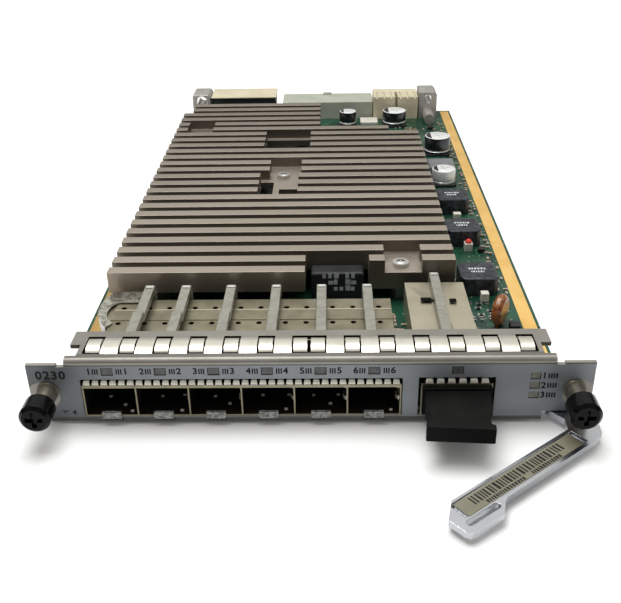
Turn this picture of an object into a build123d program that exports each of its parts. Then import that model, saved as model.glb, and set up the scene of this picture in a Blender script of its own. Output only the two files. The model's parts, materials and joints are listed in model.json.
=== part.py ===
"""Plug-in processing board with a folded front panel, six small ports, one wide port and a finned heatsink.

X runs to the right along the front panel, Y runs from the panel's face back to the rear connectors, and
Z is up. The origin is the middle of the panel face's bottom edge. All sizes are in millimetres.
"""

import os
from math import cos, radians, sin

from build123d import *

os.makedirs("parts", exist_ok=True)

# Driving sizes of the front panel
PANEL_WIDTH = 151.1
PANEL_HEIGHT = 19.8
PANEL_SHEET = 1.2
BEND_RADIUS = 1.55
FLANGE_DEPTH = 14.9
FLANGE_WIDTH = PANEL_WIDTH - 20.7
FLANGE_NECK = 2.9
NECK_FRONT = 2.3
NECK_REAR = 7.8
RELIEF_WIDTH = 2.2
RELIEF_DEPTH = 0.6

# Driving sizes of the circuit board
BOARD_WIDTH = PANEL_WIDTH - 6.7
BOARD_REAR = 283.0
BOARD_THICK = 1.6
BOARD_BOTTOM = 0.3
EDGE_STRIP_WIDTH = 4.4
EDGE_STRIP_INSET = 1.0
EDGE_STRIP_THICK = 0.12

# Fits and clearances
CLEAR = 0.3
RUNNING_FIT = 0.1
SLIP_FIT = 0.05

# Driving sizes of the six-port cage
PORT_COUNT = 6
PORT_PITCH = 14.25
PORT_ROW_LEFT = -61.05
CAGE_SHEET = 0.4
CAGE_HEIGHT = 9.45
CAGE_LIP = 0.3
CAGE_REAR = 48.4
CAGE_BAND_FRONT = 35.4
CAGE_BAND_REAR = 41.6
CAGE_BAND_THICK = 0.25
VENT_RADIUS = 0.9
VENT_ROWS = (33.7, 43.1)
VENT_OFFSETS = (2.5, 10.5)
LATCH_WIDTH = 5.2
LATCH_REACH = 0.9
LATCH_HEIGHT = 1.0
CONNECTOR_FRONT = 34.5
CONNECTOR_REAR = 46.0
CONNECTOR_WIDTH = 12.0
CONNECTOR_HEIGHT = 6.0
CARD_SLOT_HEIGHT = 1.3
CARD_SLOT_DEPTH = 4.5
CARD_SLOT_WIDTH = 9.4

# Driving sizes of the wide port
WIDE_X = 39.4
WIDE_WIDTH = 19.0
WIDE_HEIGHT = 9.6
WIDE_REAR = 58.8
WIDE_CONNECTOR_WIDTH = 16.0
WIDE_OPENING_SIDE = 0.7

# Spring fingers over the ports
FINGER_WIDTH = 1.55
FINGER_SHEET = 0.2
FINGER_PEAK = 1.75
FINGER_ROOT = 5.0
FINGER_BAND = 2.0
FINGERS_PER_PORT = 6
WIDE_FINGER_PITCH = 2.8

# Light pipes and their windows
LED_Z = 16.0
PIPE_WIDTH = 3.0
PIPE_HEIGHT = 2.2
PIPE_REAR = 51.8
PIPE_DROP = 1.4
WIDE_PIPE_DROP = 2.7
PIPE_STEP = 31.0
PIPE_LEG = 2.6
WINDOW_SLACK = 0.1
FIRST_PIPE_SHIFT = 2.7
WIDE_PIPE_REAR = 62.0
LED_HEIGHT = 0.8
STATUS_X = PANEL_WIDTH / 2 - 15.5
STATUS_Z = 7.97
STATUS_PITCH = 3.05
STATUS_WIDTH = 2.5
STATUS_HEIGHT = 1.9
STATUS_COUNT = 3

# Spring-finger gasket on the flange
GASKET_WINDOWS = 7
WINDOW_WIDTH = 4.72
GASKET_MARGIN = 4.26
GASKET_PITCH = (FLANGE_WIDTH / 2 - GASKET_MARGIN - WINDOW_WIDTH) / (GASKET_WINDOWS - 1)
WINDOW_FRONT = 3.2
WINDOW_REAR = 12.0
GASKET_SHEET = 0.25
GASKET_RISE = 0.9
GASKET_CREST_SHARE = 0.4
GASKET_END_GAP = 0.15

# Captive thumbscrews
SCREW_X = PANEL_WIDTH / 2 - 4.95
SCREW_Z = 10.0
FERRULE_RADIUS = 2.9
FERRULE_LENGTH = 7.8
FERRULE_RIM_RADIUS = 3.1
FERRULE_RIM = 0.7
FERRULE_TAIL = 0.7
KNOB_RADIUS = 4.15
KNOB_LENGTH = 6.8
KNOB_END_WALL = 2.2
KNOB_REAR = 6.6
RECESS_LENGTH = 4.6
RECESS_WIDTH = 1.2
RECESS_DEPTH = 0.9
NECK_RADIUS = 1.25
THREAD_RADIUS = 1.5
THREAD_LENGTH = 5.2
WASHER_THICK = 0.6
SPRING_WIRE = 0.5
SPRING_TURNS = 3
SPRING_STEP = 30.0

# Ejector lever, drawn closed and then swung open about its pivot
PIVOT_X = SCREW_X - 0.6
PIVOT_Y = 4.6
LEVER_OPEN_DEG = 39.0
LEVER_TOP = 2.5
LEVER_BOTTOM = 0.7
HANDLE_GAP = 3.74
HANDLE_WIDTH = 7.6
HANDLE_LENGTH = 52.95
EYE_RADIUS = 4.4
EYE_BOTTOM = 1.4
PIN_RADIUS = 1.5
PIN_FOOT_RADIUS = 3.0
PIN_HEAD_RADIUS = 2.5
PIN_HEAD_HEIGHT = 0.8
LABEL_LENGTH = 43.0
LABEL_WIDTH = 5.1
LABEL_MARGIN = 1.1
LABEL_THICK = 0.1
RECESS_RIM = 0.3
LABEL_WELL = 1.1
LABEL_WELL_DEPTH = 1.0
LEVER_CUT_X = PIVOT_X - 7.3
BRACKET_SHEET = 1.0

# Dust plug in the wide port
PLUG_DEPTH = 14.0
PLUG_COLLAR = 1.5
PLUG_REACH = 18.3
PLUG_WAIST = 14.8
PLUG_BAR_WIDTH = 17.3
PLUG_BAR_DEPTH = 2.1
PLUG_GRIP_BOTTOM = 6.2
PLUG_GRIP_TOP = 10.7
PLUG_GRIP_ROOT = 8.6
PLUG_GRIP_STRAIGHT = 6.9
PLUG_LEAN_DEG = 4.0

# Heatsink
SINK_LEFT = -66.2
SINK_RIGHT = 47.0
SINK_FRONT = 55.5
SINK_TOP = 17.5
SINK_BASE_TOP = 13.0
SINK_BASE_BOTTOM = 10.2
SINK_BLOCK_BOTTOM = 6.9
SINK_BLOCK_REAR = 90.0
FIN_PITCH = 7.8
FIN_THICK = 4.4
FIN_COUNT = 25
NOTCH_LEFT = -2.3
NOTCH_RIGHT = 18.6
STEP_LEFT = -62.3
STEP_MIDDLE = 1.5
STEP_RIGHT = 33.6

# Chips under the heatsink
CHIP_HEIGHT = 3.0
PAD_THICK = 0.5

# Standoffs and screws of M3 size
STANDOFF_RADIUS = 3.0
M3_RADIUS = 1.5
M3_CLEAR_RADIUS = 1.7
M3_HEAD_RADIUS = 2.7
M3_HEAD_HEIGHT = 1.2
M3_GRIP = 5.0

# Rear connectors and guide brackets
REAR_FRONT = BOARD_REAR - 12.7
REAR_REACH = BOARD_REAR + 5.0
GUIDE_WIDTH = 9.5
GUIDE_TOP = 16.0
GUIDE_REAR = BOARD_REAR + 0.6
GUIDE_HOLE_Z = 12.4

# Parts on the board's right side
MODULE_SIZE = 12.8
MODULE_HEIGHT = 6.6

# Values worked out from the driving sizes
BOARD_TOP = BOARD_BOTTOM + BOARD_THICK
BOARD_FRONT = PANEL_SHEET + CLEAR
FACE_TOP = PANEL_HEIGHT - BEND_RADIUS
FLANGE_UNDER = PANEL_HEIGHT - PANEL_SHEET
CAGE_TOP = BOARD_TOP + CAGE_HEIGHT
WIDE_TOP = BOARD_TOP + WIDE_HEIGHT
PORT_ROW_RIGHT = PORT_ROW_LEFT + PORT_COUNT * PORT_PITCH
PORT_OPENING_TOP = CAGE_TOP + FINGER_PEAK + 0.5
WIDE_OPENING_TOP = WIDE_TOP + FINGER_PEAK + 0.5
HANDLE_EDGE = -(PIVOT_Y + HANDLE_GAP)
FERRULE_FACE = -FERRULE_LENGTH + 0.6
STANDOFF_PLACES = [(-60.0, 64.0), (-59.0, 222.0), (-8.0, 238.0), (41.0, 194.0)]
TOP_SCREW_PLACES = [(29.4, 69.0, SINK_BLOCK_BOTTOM), (-13.4, 152.7, SINK_BASE_BOTTOM)]
GUIDE_PLACES = {"left": (-67.6, 2.9), "right": (53.9, 2.3)}
ANGLE_SCREW_PLACES = [(-69.8, 8.0), (67.0, 18.8)]
GUIDE_SCREW_PLACES = [
    (left + GUIDE_WIDTH / 2, REAR_FRONT + 5.0) for left, _ in GUIDE_PLACES.values()
]
BOARD_SCREW_PLACES = STANDOFF_PLACES + ANGLE_SCREW_PLACES + GUIDE_SCREW_PLACES


def box_between(x0, x1, y0, y1, z0, z1):
    """A block between two corners, drawn as a rectangle on its own bottom plane."""
    with BuildPart() as piece:
        with BuildSketch(Plane.XY.offset(z0)):
            with Locations(((x0 + x1) / 2, (y0 + y1) / 2)):
                Rectangle(x1 - x0, y1 - y0)
        extrude(amount=z1 - z0)
    return piece.part


def turned(profile, x, z):
    """A piece turned about an axis along Y at x and z, from (radius, y) points."""
    with BuildPart() as piece:
        with BuildSketch(Plane(origin=(x, 0, z), x_dir=(1, 0, 0), z_dir=(0, 0, 1))):
            with BuildLine():
                Polyline(*profile, close=True)
            make_face()
        revolve(axis=Axis((x, 0, z), (0, 1, 0)))
    return piece.part


def upright(profile, x, y):
    """A piece turned about a vertical axis at x and y, from (radius, z) points."""
    with BuildPart() as piece:
        with BuildSketch(Plane(origin=(x, y, 0), x_dir=(1, 0, 0), z_dir=(0, -1, 0))):
            with BuildLine():
                Polyline(*profile, close=True)
            make_face()
        revolve(axis=Axis((x, y, 0), (0, 0, 1)))
    return piece.part


def keep(shape, name):
    """Labels a finished piece and writes its file."""
    shape.label = name
    export_step(shape, f"parts/{name}.step")


def group(shapes, name):
    """Writes several like solids as one node."""
    keep(Compound(children=list(shapes)), name)


def port_middle(index):
    """The X place of a small port's middle."""
    return PORT_ROW_LEFT + (index + 0.5) * PORT_PITCH


# The front panel: a face with ears, and a flange folded back from its top edge
FACE_PLANE = Plane.XZ
with BuildPart() as front_panel:
    with BuildSketch(FACE_PLANE):
        with Locations((0, FACE_TOP / 2)):
            Rectangle(PANEL_WIDTH, FACE_TOP)
    extrude(amount=-PANEL_SHEET)
    # the fold and the flange, drawn as a bent strip and run along the panel
    with BuildSketch(Plane.YZ.offset(-FLANGE_WIDTH / 2)):
        with BuildLine():
            Line((0, FACE_TOP), (PANEL_SHEET, FACE_TOP))
            RadiusArc(
                (PANEL_SHEET, FACE_TOP),
                (BEND_RADIUS, FLANGE_UNDER),
                BEND_RADIUS - PANEL_SHEET,
            )
            Line((BEND_RADIUS, FLANGE_UNDER), (FLANGE_DEPTH, FLANGE_UNDER))
            Line((FLANGE_DEPTH, FLANGE_UNDER), (FLANGE_DEPTH, PANEL_HEIGHT))
            Line((FLANGE_DEPTH, PANEL_HEIGHT), (BEND_RADIUS, PANEL_HEIGHT))
            RadiusArc((BEND_RADIUS, PANEL_HEIGHT), (0, FACE_TOP), -BEND_RADIUS)
        make_face()
    extrude(amount=FLANGE_WIDTH)
    # the flange narrows to a neck beside the gasket and widens again to a tab
    with BuildSketch(Plane.XY.offset(PANEL_HEIGHT)):
        with Locations(
            (-FLANGE_WIDTH / 2, (NECK_FRONT + NECK_REAR) / 2),
            (FLANGE_WIDTH / 2, (NECK_FRONT + NECK_REAR) / 2),
        ):
            Rectangle(2 * FLANGE_NECK, NECK_REAR - NECK_FRONT)
    extrude(amount=-2 * PANEL_SHEET, mode=Mode.SUBTRACT)
    # windows that the gasket's springs stand in
    with BuildSketch(Plane.XY.offset(PANEL_HEIGHT)):
        for side in (-1, 1):
            for index in range(GASKET_WINDOWS):
                middle = side * (index * GASKET_PITCH + WINDOW_WIDTH / 2)
                with Locations((middle, (WINDOW_FRONT + WINDOW_REAR) / 2)):
                    Rectangle(WINDOW_WIDTH, WINDOW_REAR - WINDOW_FRONT)
    extrude(amount=-2 * PANEL_SHEET, mode=Mode.SUBTRACT)
    # openings in the face
    with BuildSketch(FACE_PLANE):
        row_left = PORT_ROW_LEFT - CAGE_SHEET / 2 - CLEAR
        row_right = PORT_ROW_RIGHT + CAGE_SHEET / 2 + CLEAR
        opening_bottom = BOARD_TOP - CLEAR
        with Locations(
            ((row_left + row_right) / 2, (opening_bottom + PORT_OPENING_TOP) / 2)
        ):
            Rectangle(row_right - row_left, PORT_OPENING_TOP - opening_bottom)
        with Locations((WIDE_X, (opening_bottom + WIDE_OPENING_TOP) / 2)):
            Rectangle(
                WIDE_WIDTH + 2 * WIDE_OPENING_SIDE, WIDE_OPENING_TOP - opening_bottom
            )
        lamp_places = [(port_middle(i), LED_Z) for i in range(PORT_COUNT)]
        with Locations(*lamp_places, (WIDE_X, LED_Z)):
            Rectangle(PIPE_WIDTH + 2 * WINDOW_SLACK, PIPE_HEIGHT + 2 * WINDOW_SLACK)
        with Locations(
            *[(STATUS_X, STATUS_Z + i * STATUS_PITCH) for i in range(STATUS_COUNT)]
        ):
            Rectangle(STATUS_WIDTH + 2 * WINDOW_SLACK, STATUS_HEIGHT + 2 * WINDOW_SLACK)
        with Locations((-SCREW_X, SCREW_Z), (SCREW_X, SCREW_Z)):
            Circle(FERRULE_RADIUS)
        # the lever swings through the lower right corner
        with Locations(((LEVER_CUT_X + PANEL_WIDTH / 2) / 2, 0)):
            Rectangle(PANEL_WIDTH / 2 - LEVER_CUT_X, 2 * (LEVER_TOP + CLEAR))
        # bend reliefs beside the flange
        with Locations(
            (-(FLANGE_WIDTH + RELIEF_WIDTH) / 2, FACE_TOP),
            ((FLANGE_WIDTH + RELIEF_WIDTH) / 2, FACE_TOP),
        ):
            Rectangle(RELIEF_WIDTH, 2 * RELIEF_DEPTH)
    extrude(amount=-PANEL_SHEET, mode=Mode.SUBTRACT)
keep(front_panel.part, "front_panel")


# Two spring gaskets: a narrow dome along the flange that widens and drops into each window
def folded_strip(middle, half, foot, crest):
    """Points round a thin spring strip, folded up from foot to a flat crest and down again."""
    shoulder = half * GASKET_CREST_SHARE
    return [
        (middle - half, foot),
        (middle - shoulder, crest),
        (middle + shoulder, crest),
        (middle + half, foot),
        (middle + half - GASKET_SHEET, foot),
        (middle + shoulder - GASKET_SHEET, crest - GASKET_SHEET),
        (middle - shoulder + GASKET_SHEET, crest - GASKET_SHEET),
        (middle - half + GASKET_SHEET, foot),
    ]


def gasket(side):
    """One gasket strip, on the left of the middle for side -1 and on the right for side 1."""
    length = (GASKET_WINDOWS - 1) * GASKET_PITCH + WINDOW_WIDTH
    middle_y = (WINDOW_FRONT + WINDOW_REAR) / 2
    start = GASKET_END_GAP if side > 0 else -length
    crest = PANEL_HEIGHT + GASKET_RISE
    half_window = (WINDOW_REAR - WINDOW_FRONT) / 2 - 0.6
    half_bridge = half_window - 0.5
    with BuildPart() as strip:
        with BuildSketch(Plane.YZ.offset(start)):
            with BuildLine():
                Polyline(
                    *folded_strip(middle_y, half_bridge, PANEL_HEIGHT + 0.02, crest - 0.1),
                    close=True,
                )
            make_face()
        extrude(amount=length - GASKET_END_GAP)
        # slits beside each window set its wide spring free of the narrow strip
        with BuildSketch(Plane.XY.offset(crest)):
            for index in range(GASKET_WINDOWS):
                near = side * (index * GASKET_PITCH + WINDOW_WIDTH / 2)
                for edge in (-1, 1):
                    for half in (-1, 1):
                        with Locations(
                            (
                                near + edge * (WINDOW_WIDTH / 2 - 0.1),
                                middle_y + half * (half_window / 2 + 0.5),
                            )
                        ):
                            Rectangle(0.4, half_window)
        extrude(amount=-2 * GASKET_RISE, mode=Mode.SUBTRACT)
        for index in range(GASKET_WINDOWS):
            near = side * (index * GASKET_PITCH + WINDOW_WIDTH / 2)
            width = WINDOW_WIDTH - 0.6
            with BuildSketch(Plane.YZ.offset(near - width / 2)):
                with BuildLine():
                    Polyline(
                        *folded_strip(middle_y, half_window, FLANGE_UNDER + 0.2, crest),
                        close=True,
                    )
                make_face()
            extrude(amount=width)
    return strip.part


keep(gasket(-1), "gasket_left")
keep(gasket(1), "gasket_right")

# The six-port cage: one folded and welded tin box with five walls between its ports
with BuildPart() as port_cage:
    outer_left = PORT_ROW_LEFT - CAGE_SHEET / 2
    outer_right = PORT_ROW_RIGHT + CAGE_SHEET / 2
    with BuildSketch(Plane.XY.offset(BOARD_TOP)):
        with Locations(((outer_left + outer_right) / 2, (CAGE_REAR - CAGE_LIP) / 2)):
            Rectangle(outer_right - outer_left, CAGE_REAR + CAGE_LIP)
    extrude(amount=CAGE_HEIGHT)
    # the ports, open at the front
    with BuildSketch(Plane.XZ.offset(CAGE_LIP)):
        with Locations(
            *[
                (port_middle(i), (BOARD_TOP + CAGE_TOP) / 2)
                for i in range(PORT_COUNT)
            ]
        ):
            Rectangle(PORT_PITCH - CAGE_SHEET, CAGE_HEIGHT - 2 * CAGE_SHEET)
    extrude(amount=-(CAGE_REAR + CAGE_LIP - CAGE_SHEET), mode=Mode.SUBTRACT)
    # the floor is open over each connector
    with BuildSketch(Plane.XY.offset(BOARD_TOP)):
        with Locations(
            *[
                (port_middle(i), (CONNECTOR_FRONT + CONNECTOR_REAR) / 2)
                for i in range(PORT_COUNT)
            ]
        ):
            Rectangle(
                CONNECTOR_WIDTH + 2 * CLEAR,
                CONNECTOR_REAR - CONNECTOR_FRONT + 2 * CLEAR,
            )
    extrude(amount=CAGE_SHEET, mode=Mode.SUBTRACT)
    # a strap welded across the top
    with BuildSketch(Plane.XY.offset(CAGE_TOP)):
        with Locations(
            ((outer_left + outer_right) / 2, (CAGE_BAND_FRONT + CAGE_BAND_REAR) / 2)
        ):
            Rectangle(outer_right - outer_left, CAGE_BAND_REAR - CAGE_BAND_FRONT)
    extrude(amount=CAGE_BAND_THICK)
    # punched vent holes in two rows
    with BuildSketch(Plane.XY.offset(CAGE_TOP)):
        for index in range(PORT_COUNT):
            for offset in VENT_OFFSETS:
                for row in VENT_ROWS:
                    with Locations((PORT_ROW_LEFT + index * PORT_PITCH + offset, row)):
                        RegularPolygon(VENT_RADIUS, 8)
    extrude(amount=-CAGE_SHEET, mode=Mode.SUBTRACT)
    # a latch tab at the middle of each port's floor
    for index in range(PORT_COUNT):
        with BuildSketch(Plane.YZ.offset(port_middle(index) - LATCH_WIDTH / 2)):
            with BuildLine():
                Polyline(
                    (-CAGE_LIP, BOARD_TOP),
                    (-CAGE_LIP, BOARD_TOP + LATCH_HEIGHT),
                    (-LATCH_REACH, BOARD_TOP + LATCH_HEIGHT),
                    (-LATCH_REACH - 0.2, BOARD_TOP),
                    close=True,
                )
            make_face()
        extrude(amount=LATCH_WIDTH)
keep(port_cage.part, "port_cage")


def connector(x, width, front, rear):
    """A moulded card connector with a slot in its front face."""
    slot_z = BOARD_TOP + CONNECTOR_HEIGHT / 2
    slot_width = width - (CONNECTOR_WIDTH - CARD_SLOT_WIDTH)
    with BuildPart() as piece:
        with BuildSketch(Plane.XY.offset(BOARD_TOP)):
            with Locations((x, (front + rear) / 2)):
                Rectangle(width, rear - front)
        extrude(amount=CONNECTOR_HEIGHT)
        with BuildSketch(Plane.XZ.offset(-front)):
            with Locations((x, slot_z)):
                Rectangle(slot_width, CARD_SLOT_HEIGHT)
        extrude(amount=-CARD_SLOT_DEPTH, mode=Mode.SUBTRACT)
    return piece.part


group(
    [
        connector(port_middle(i), CONNECTOR_WIDTH, CONNECTOR_FRONT, CONNECTOR_REAR)
        for i in range(PORT_COUNT)
    ],
    "port_connectors",
)
WIDE_CONNECTOR_REAR = WIDE_REAR - CAGE_SHEET - CLEAR
WIDE_CONNECTOR_FRONT = WIDE_CONNECTOR_REAR - (CONNECTOR_REAR - CONNECTOR_FRONT)
keep(
    connector(WIDE_X, WIDE_CONNECTOR_WIDTH, WIDE_CONNECTOR_FRONT, WIDE_CONNECTOR_REAR),
    "wide_port_connector",
)

# The wide port's cage, with a spring tongue and a slot in its roof
with BuildPart() as wide_cage:
    with BuildSketch(Plane.XY.offset(BOARD_TOP)):
        with Locations((WIDE_X, (WIDE_REAR - CAGE_LIP) / 2)):
            Rectangle(WIDE_WIDTH, WIDE_REAR + CAGE_LIP)
    extrude(amount=WIDE_HEIGHT)
    with BuildSketch(Plane.XZ.offset(CAGE_LIP)):
        with Locations((WIDE_X, (BOARD_TOP + WIDE_TOP) / 2)):
            Rectangle(WIDE_WIDTH - 2 * CAGE_SHEET, WIDE_HEIGHT - 2 * CAGE_SHEET)
    extrude(amount=-(WIDE_REAR + CAGE_LIP - CAGE_SHEET), mode=Mode.SUBTRACT)
    with BuildSketch(Plane.XY.offset(BOARD_TOP)):
        with Locations((WIDE_X, (WIDE_CONNECTOR_FRONT + WIDE_CONNECTOR_REAR) / 2)):
            Rectangle(
                WIDE_CONNECTOR_WIDTH + 2 * CLEAR,
                WIDE_CONNECTOR_REAR - WIDE_CONNECTOR_FRONT + 2 * CLEAR,
            )
    extrude(amount=CAGE_SHEET, mode=Mode.SUBTRACT)
    with BuildSketch(Plane.XY.offset(WIDE_TOP)):
        with Locations((WIDE_X - 2.9, 46.6)):
            Rectangle(3.4, 2.0)
        with Locations((WIDE_X + 4.7, 46.4)):
            Rectangle(2.2, 1.5)
    extrude(amount=-CAGE_SHEET, mode=Mode.SUBTRACT)
    # the tongue rises from the left slot's rear edge
    with BuildSketch(Plane.YZ.offset(WIDE_X - 4.2)):
        with BuildLine():
            Polyline(
                (48.2, WIDE_TOP - CAGE_SHEET),
                (48.2, WIDE_TOP),
                (46.1, WIDE_TOP + 0.7),
                (46.0, WIDE_TOP + 0.4),
                (47.4, WIDE_TOP - CAGE_SHEET),
                close=True,
            )
        make_face()
    extrude(amount=2.6)
    # a raised collar over the front right of the roof
    with BuildSketch(Plane.XY.offset(WIDE_TOP)):
        with Locations((WIDE_X + 6.0, 24.0)):
            Rectangle(7.0, 16.0)
    extrude(amount=CAGE_SHEET)
keep(wide_cage.part, "wide_port_cage")


def finger_row(left, right, count, pitch, roof):
    """A strip of spring fingers that arch from the cage's roof to the panel's opening."""
    first = (left + right) / 2 - (count - 1) * pitch / 2
    peak = roof + FINGER_PEAK
    with BuildPart() as row:
        with BuildSketch(Plane.XY.offset(roof)):
            with Locations(((left + right) / 2, FINGER_ROOT + FINGER_BAND / 2)):
                Rectangle(right - left, FINGER_BAND)
        extrude(amount=FINGER_SHEET)
        for index in range(count):
            with BuildSketch(
                Plane.YZ.offset(first + index * pitch - FINGER_WIDTH / 2)
            ):
                with BuildLine():
                    Polyline(
                        (FINGER_ROOT + 0.1, roof),
                        (PANEL_SHEET + 1.0, peak - FINGER_SHEET),
                        (PANEL_SHEET / 2, peak - FINGER_SHEET),
                        (-CAGE_LIP + FINGER_SHEET, roof + 0.15),
                        (-CAGE_LIP, roof + 0.15),
                        (-CAGE_LIP, roof + 0.5),
                        (PANEL_SHEET / 2 - 0.2, peak),
                        (PANEL_SHEET + 1.1, peak),
                        (FINGER_ROOT + 0.1, roof + FINGER_SHEET),
                        close=True,
                    )
                make_face()
            extrude(amount=FINGER_WIDTH)
    return row.part


keep(
    finger_row(
        PORT_ROW_LEFT,
        PORT_ROW_RIGHT,
        PORT_COUNT * FINGERS_PER_PORT,
        PORT_PITCH / FINGERS_PER_PORT,
        CAGE_TOP,
    ),
    "port_spring_fingers",
)
keep(
    finger_row(
        WIDE_X - WIDE_WIDTH / 2,
        WIDE_X + WIDE_WIDTH / 2,
        FINGERS_PER_PORT,
        WIDE_FINGER_PITCH,
        WIDE_TOP,
    ),
    "wide_port_spring_fingers",
)

# A bent shield round the cage's left rear corner, with a lip folded in over the roof
with BuildPart() as end_shield:
    corner_front = (outer_left - 0.5, 30.4)
    corner_bulge = (outer_left - 4.9, 43.0)
    corner_rear = (outer_left - 2.6, 52.6)
    tail_end = (outer_left + 8.0, 53.4)
    with BuildSketch(Plane.XY.offset(BOARD_TOP)):
        with BuildLine():
            ThreePointArc(corner_front, corner_bulge, corner_rear)
            Line(corner_rear, tail_end)
            Line(tail_end, (tail_end[0], tail_end[1] - 0.6))
            Line(
                (tail_end[0], tail_end[1] - 0.6),
                (corner_rear[0] + 0.5, corner_rear[1] - 0.6),
            )
            ThreePointArc(
                (corner_rear[0] + 0.5, corner_rear[1] - 0.6),
                (corner_bulge[0] + 0.6, corner_bulge[1]),
                (corner_front[0] + 0.3, corner_front[1] + 0.4),
            )
            Line((corner_front[0] + 0.3, corner_front[1] + 0.4), corner_front)
        make_face()
    extrude(amount=CAGE_HEIGHT + CAGE_BAND_THICK)
    with BuildSketch(Plane.XY.offset(CAGE_TOP + CAGE_BAND_THICK)):
        with BuildLine():
            ThreePointArc(corner_front, corner_bulge, corner_rear)
            Line(corner_rear, tail_end)
            Line(tail_end, (tail_end[0], 46.0))
            Line((tail_end[0], 46.0), (outer_left + 0.6, 46.0))
            ThreePointArc(
                (outer_left + 0.6, 46.0),
                (outer_left - 1.6, 42.0),
                (outer_left + 1.2, 33.4),
            )
            Line((outer_left + 1.2, 33.4), corner_front)
        make_face()
    extrude(amount=0.35)
keep(end_shield.part, "cage_end_shield")

# The circuit board, notched at its front right corner for the lever
NOTCH_X = PIVOT_X - 10.0
BOARD_NOTCH_REAR = PIVOT_Y + 9.8
with BuildPart() as circuit_board:
    with BuildSketch(Plane.XY.offset(BOARD_BOTTOM)):
        with Locations((0, (BOARD_FRONT + BOARD_REAR) / 2)):
            Rectangle(BOARD_WIDTH, BOARD_REAR - BOARD_FRONT)
        with Locations(
            ((NOTCH_X + BOARD_WIDTH / 2) / 2, (BOARD_FRONT + BOARD_NOTCH_REAR) / 2)
        ):
            Rectangle(
                BOARD_WIDTH / 2 - NOTCH_X,
                BOARD_NOTCH_REAR - BOARD_FRONT,
                mode=Mode.SUBTRACT,
            )
        with Locations(*BOARD_SCREW_PLACES):
            Circle(M3_CLEAR_RADIUS, mode=Mode.SUBTRACT)
    extrude(amount=BOARD_THICK)
keep(circuit_board.part, "circuit_board")

STRIP_OUT = BOARD_WIDTH / 2 - EDGE_STRIP_INSET
STRIP_IN = STRIP_OUT - EDGE_STRIP_WIDTH
STRIP_TOP = BOARD_TOP + EDGE_STRIP_THICK
group(
    [
        box_between(-STRIP_OUT, -STRIP_IN, 13.0, REAR_FRONT - 6.0, BOARD_TOP, STRIP_TOP),
        box_between(STRIP_IN, STRIP_OUT, 24.0, BOARD_REAR - 2.0, BOARD_TOP, STRIP_TOP),
    ],
    "edge_strips",
)

# Light pipes: a bar from each window over the cage, stepped down and turned down to its lamp
PIPE_BOTTOM_FRONT = LED_Z - PIPE_HEIGHT / 2
PIPE_TOP_FRONT = LED_Z + PIPE_HEIGHT / 2
PIPE_FOOT = BOARD_TOP + LED_HEIGHT + CLEAR


def light_pipe(x, rear, step, drop, shift=0.0):
    """One moulded light pipe that steps down by drop; shift moves its window end to the left."""
    low = PIPE_BOTTOM_FRONT - drop
    high = PIPE_TOP_FRONT - drop
    with BuildPart() as pipe:
        with BuildSketch(Plane.YZ.offset(x - PIPE_WIDTH / 2)):
            with BuildLine():
                Polyline(
                    (0.2, PIPE_BOTTOM_FRONT),
                    (step - PIPE_LEG, PIPE_BOTTOM_FRONT),
                    (step, low),
                    (rear - PIPE_LEG, low),
                    (rear - PIPE_LEG, PIPE_FOOT),
                    (rear, PIPE_FOOT),
                    (rear, high - 1.6),
                    (rear - 1.6, high),
                    (step + 0.8, high),
                    (step, PIPE_TOP_FRONT),
                    (0.2, PIPE_TOP_FRONT),
                    close=True,
                )
            make_face()
        extrude(amount=PIPE_WIDTH)
        if shift:
            with BuildSketch(Plane.XY.offset(PIPE_BOTTOM_FRONT)):
                with Locations((x, 3.0)):
                    Rectangle(2 * PIPE_WIDTH, 6.0)
            extrude(amount=PIPE_HEIGHT, mode=Mode.SUBTRACT)
            with BuildSketch(Plane.XY.offset(PIPE_BOTTOM_FRONT)):
                with BuildLine():
                    Polyline(
                        (x - PIPE_WIDTH / 2 - shift, 0.2),
                        (x + PIPE_WIDTH / 2 - shift, 0.2),
                        (x + PIPE_WIDTH / 2 - shift, 3.0),
                        (x + PIPE_WIDTH / 2, 6.0),
                        (x + PIPE_WIDTH / 2, 6.5),
                        (x - PIPE_WIDTH / 2, 6.5),
                        (x - PIPE_WIDTH / 2 - shift, 3.0),
                        close=True,
                    )
                make_face()
            extrude(amount=PIPE_HEIGHT)
    return pipe.part


pipe_rears = []
for index in range(PORT_COUNT):
    shift = FIRST_PIPE_SHIFT if index == 0 else 0.0
    place = port_middle(index) + shift
    keep(
        light_pipe(place, PIPE_REAR, PIPE_STEP, PIPE_DROP, shift),
        f"light_pipe_{index + 1}",
    )
    pipe_rears.append((place, PIPE_REAR - PIPE_LEG / 2))
keep(
    light_pipe(WIDE_X, WIDE_PIPE_REAR, FLANGE_DEPTH + 2.0, WIDE_PIPE_DROP),
    f"light_pipe_{PORT_COUNT + 1}",
)
pipe_rears.append((WIDE_X, WIDE_PIPE_REAR - PIPE_LEG / 2))

# Small lamps on the board under the light pipes' feet
group(
    [
        box_between(x - 1.0, x + 1.0, y - 0.6, y + 0.6, BOARD_TOP, BOARD_TOP + LED_HEIGHT)
        for x, y in pipe_rears
    ],
    "port_lamps",
)

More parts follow.
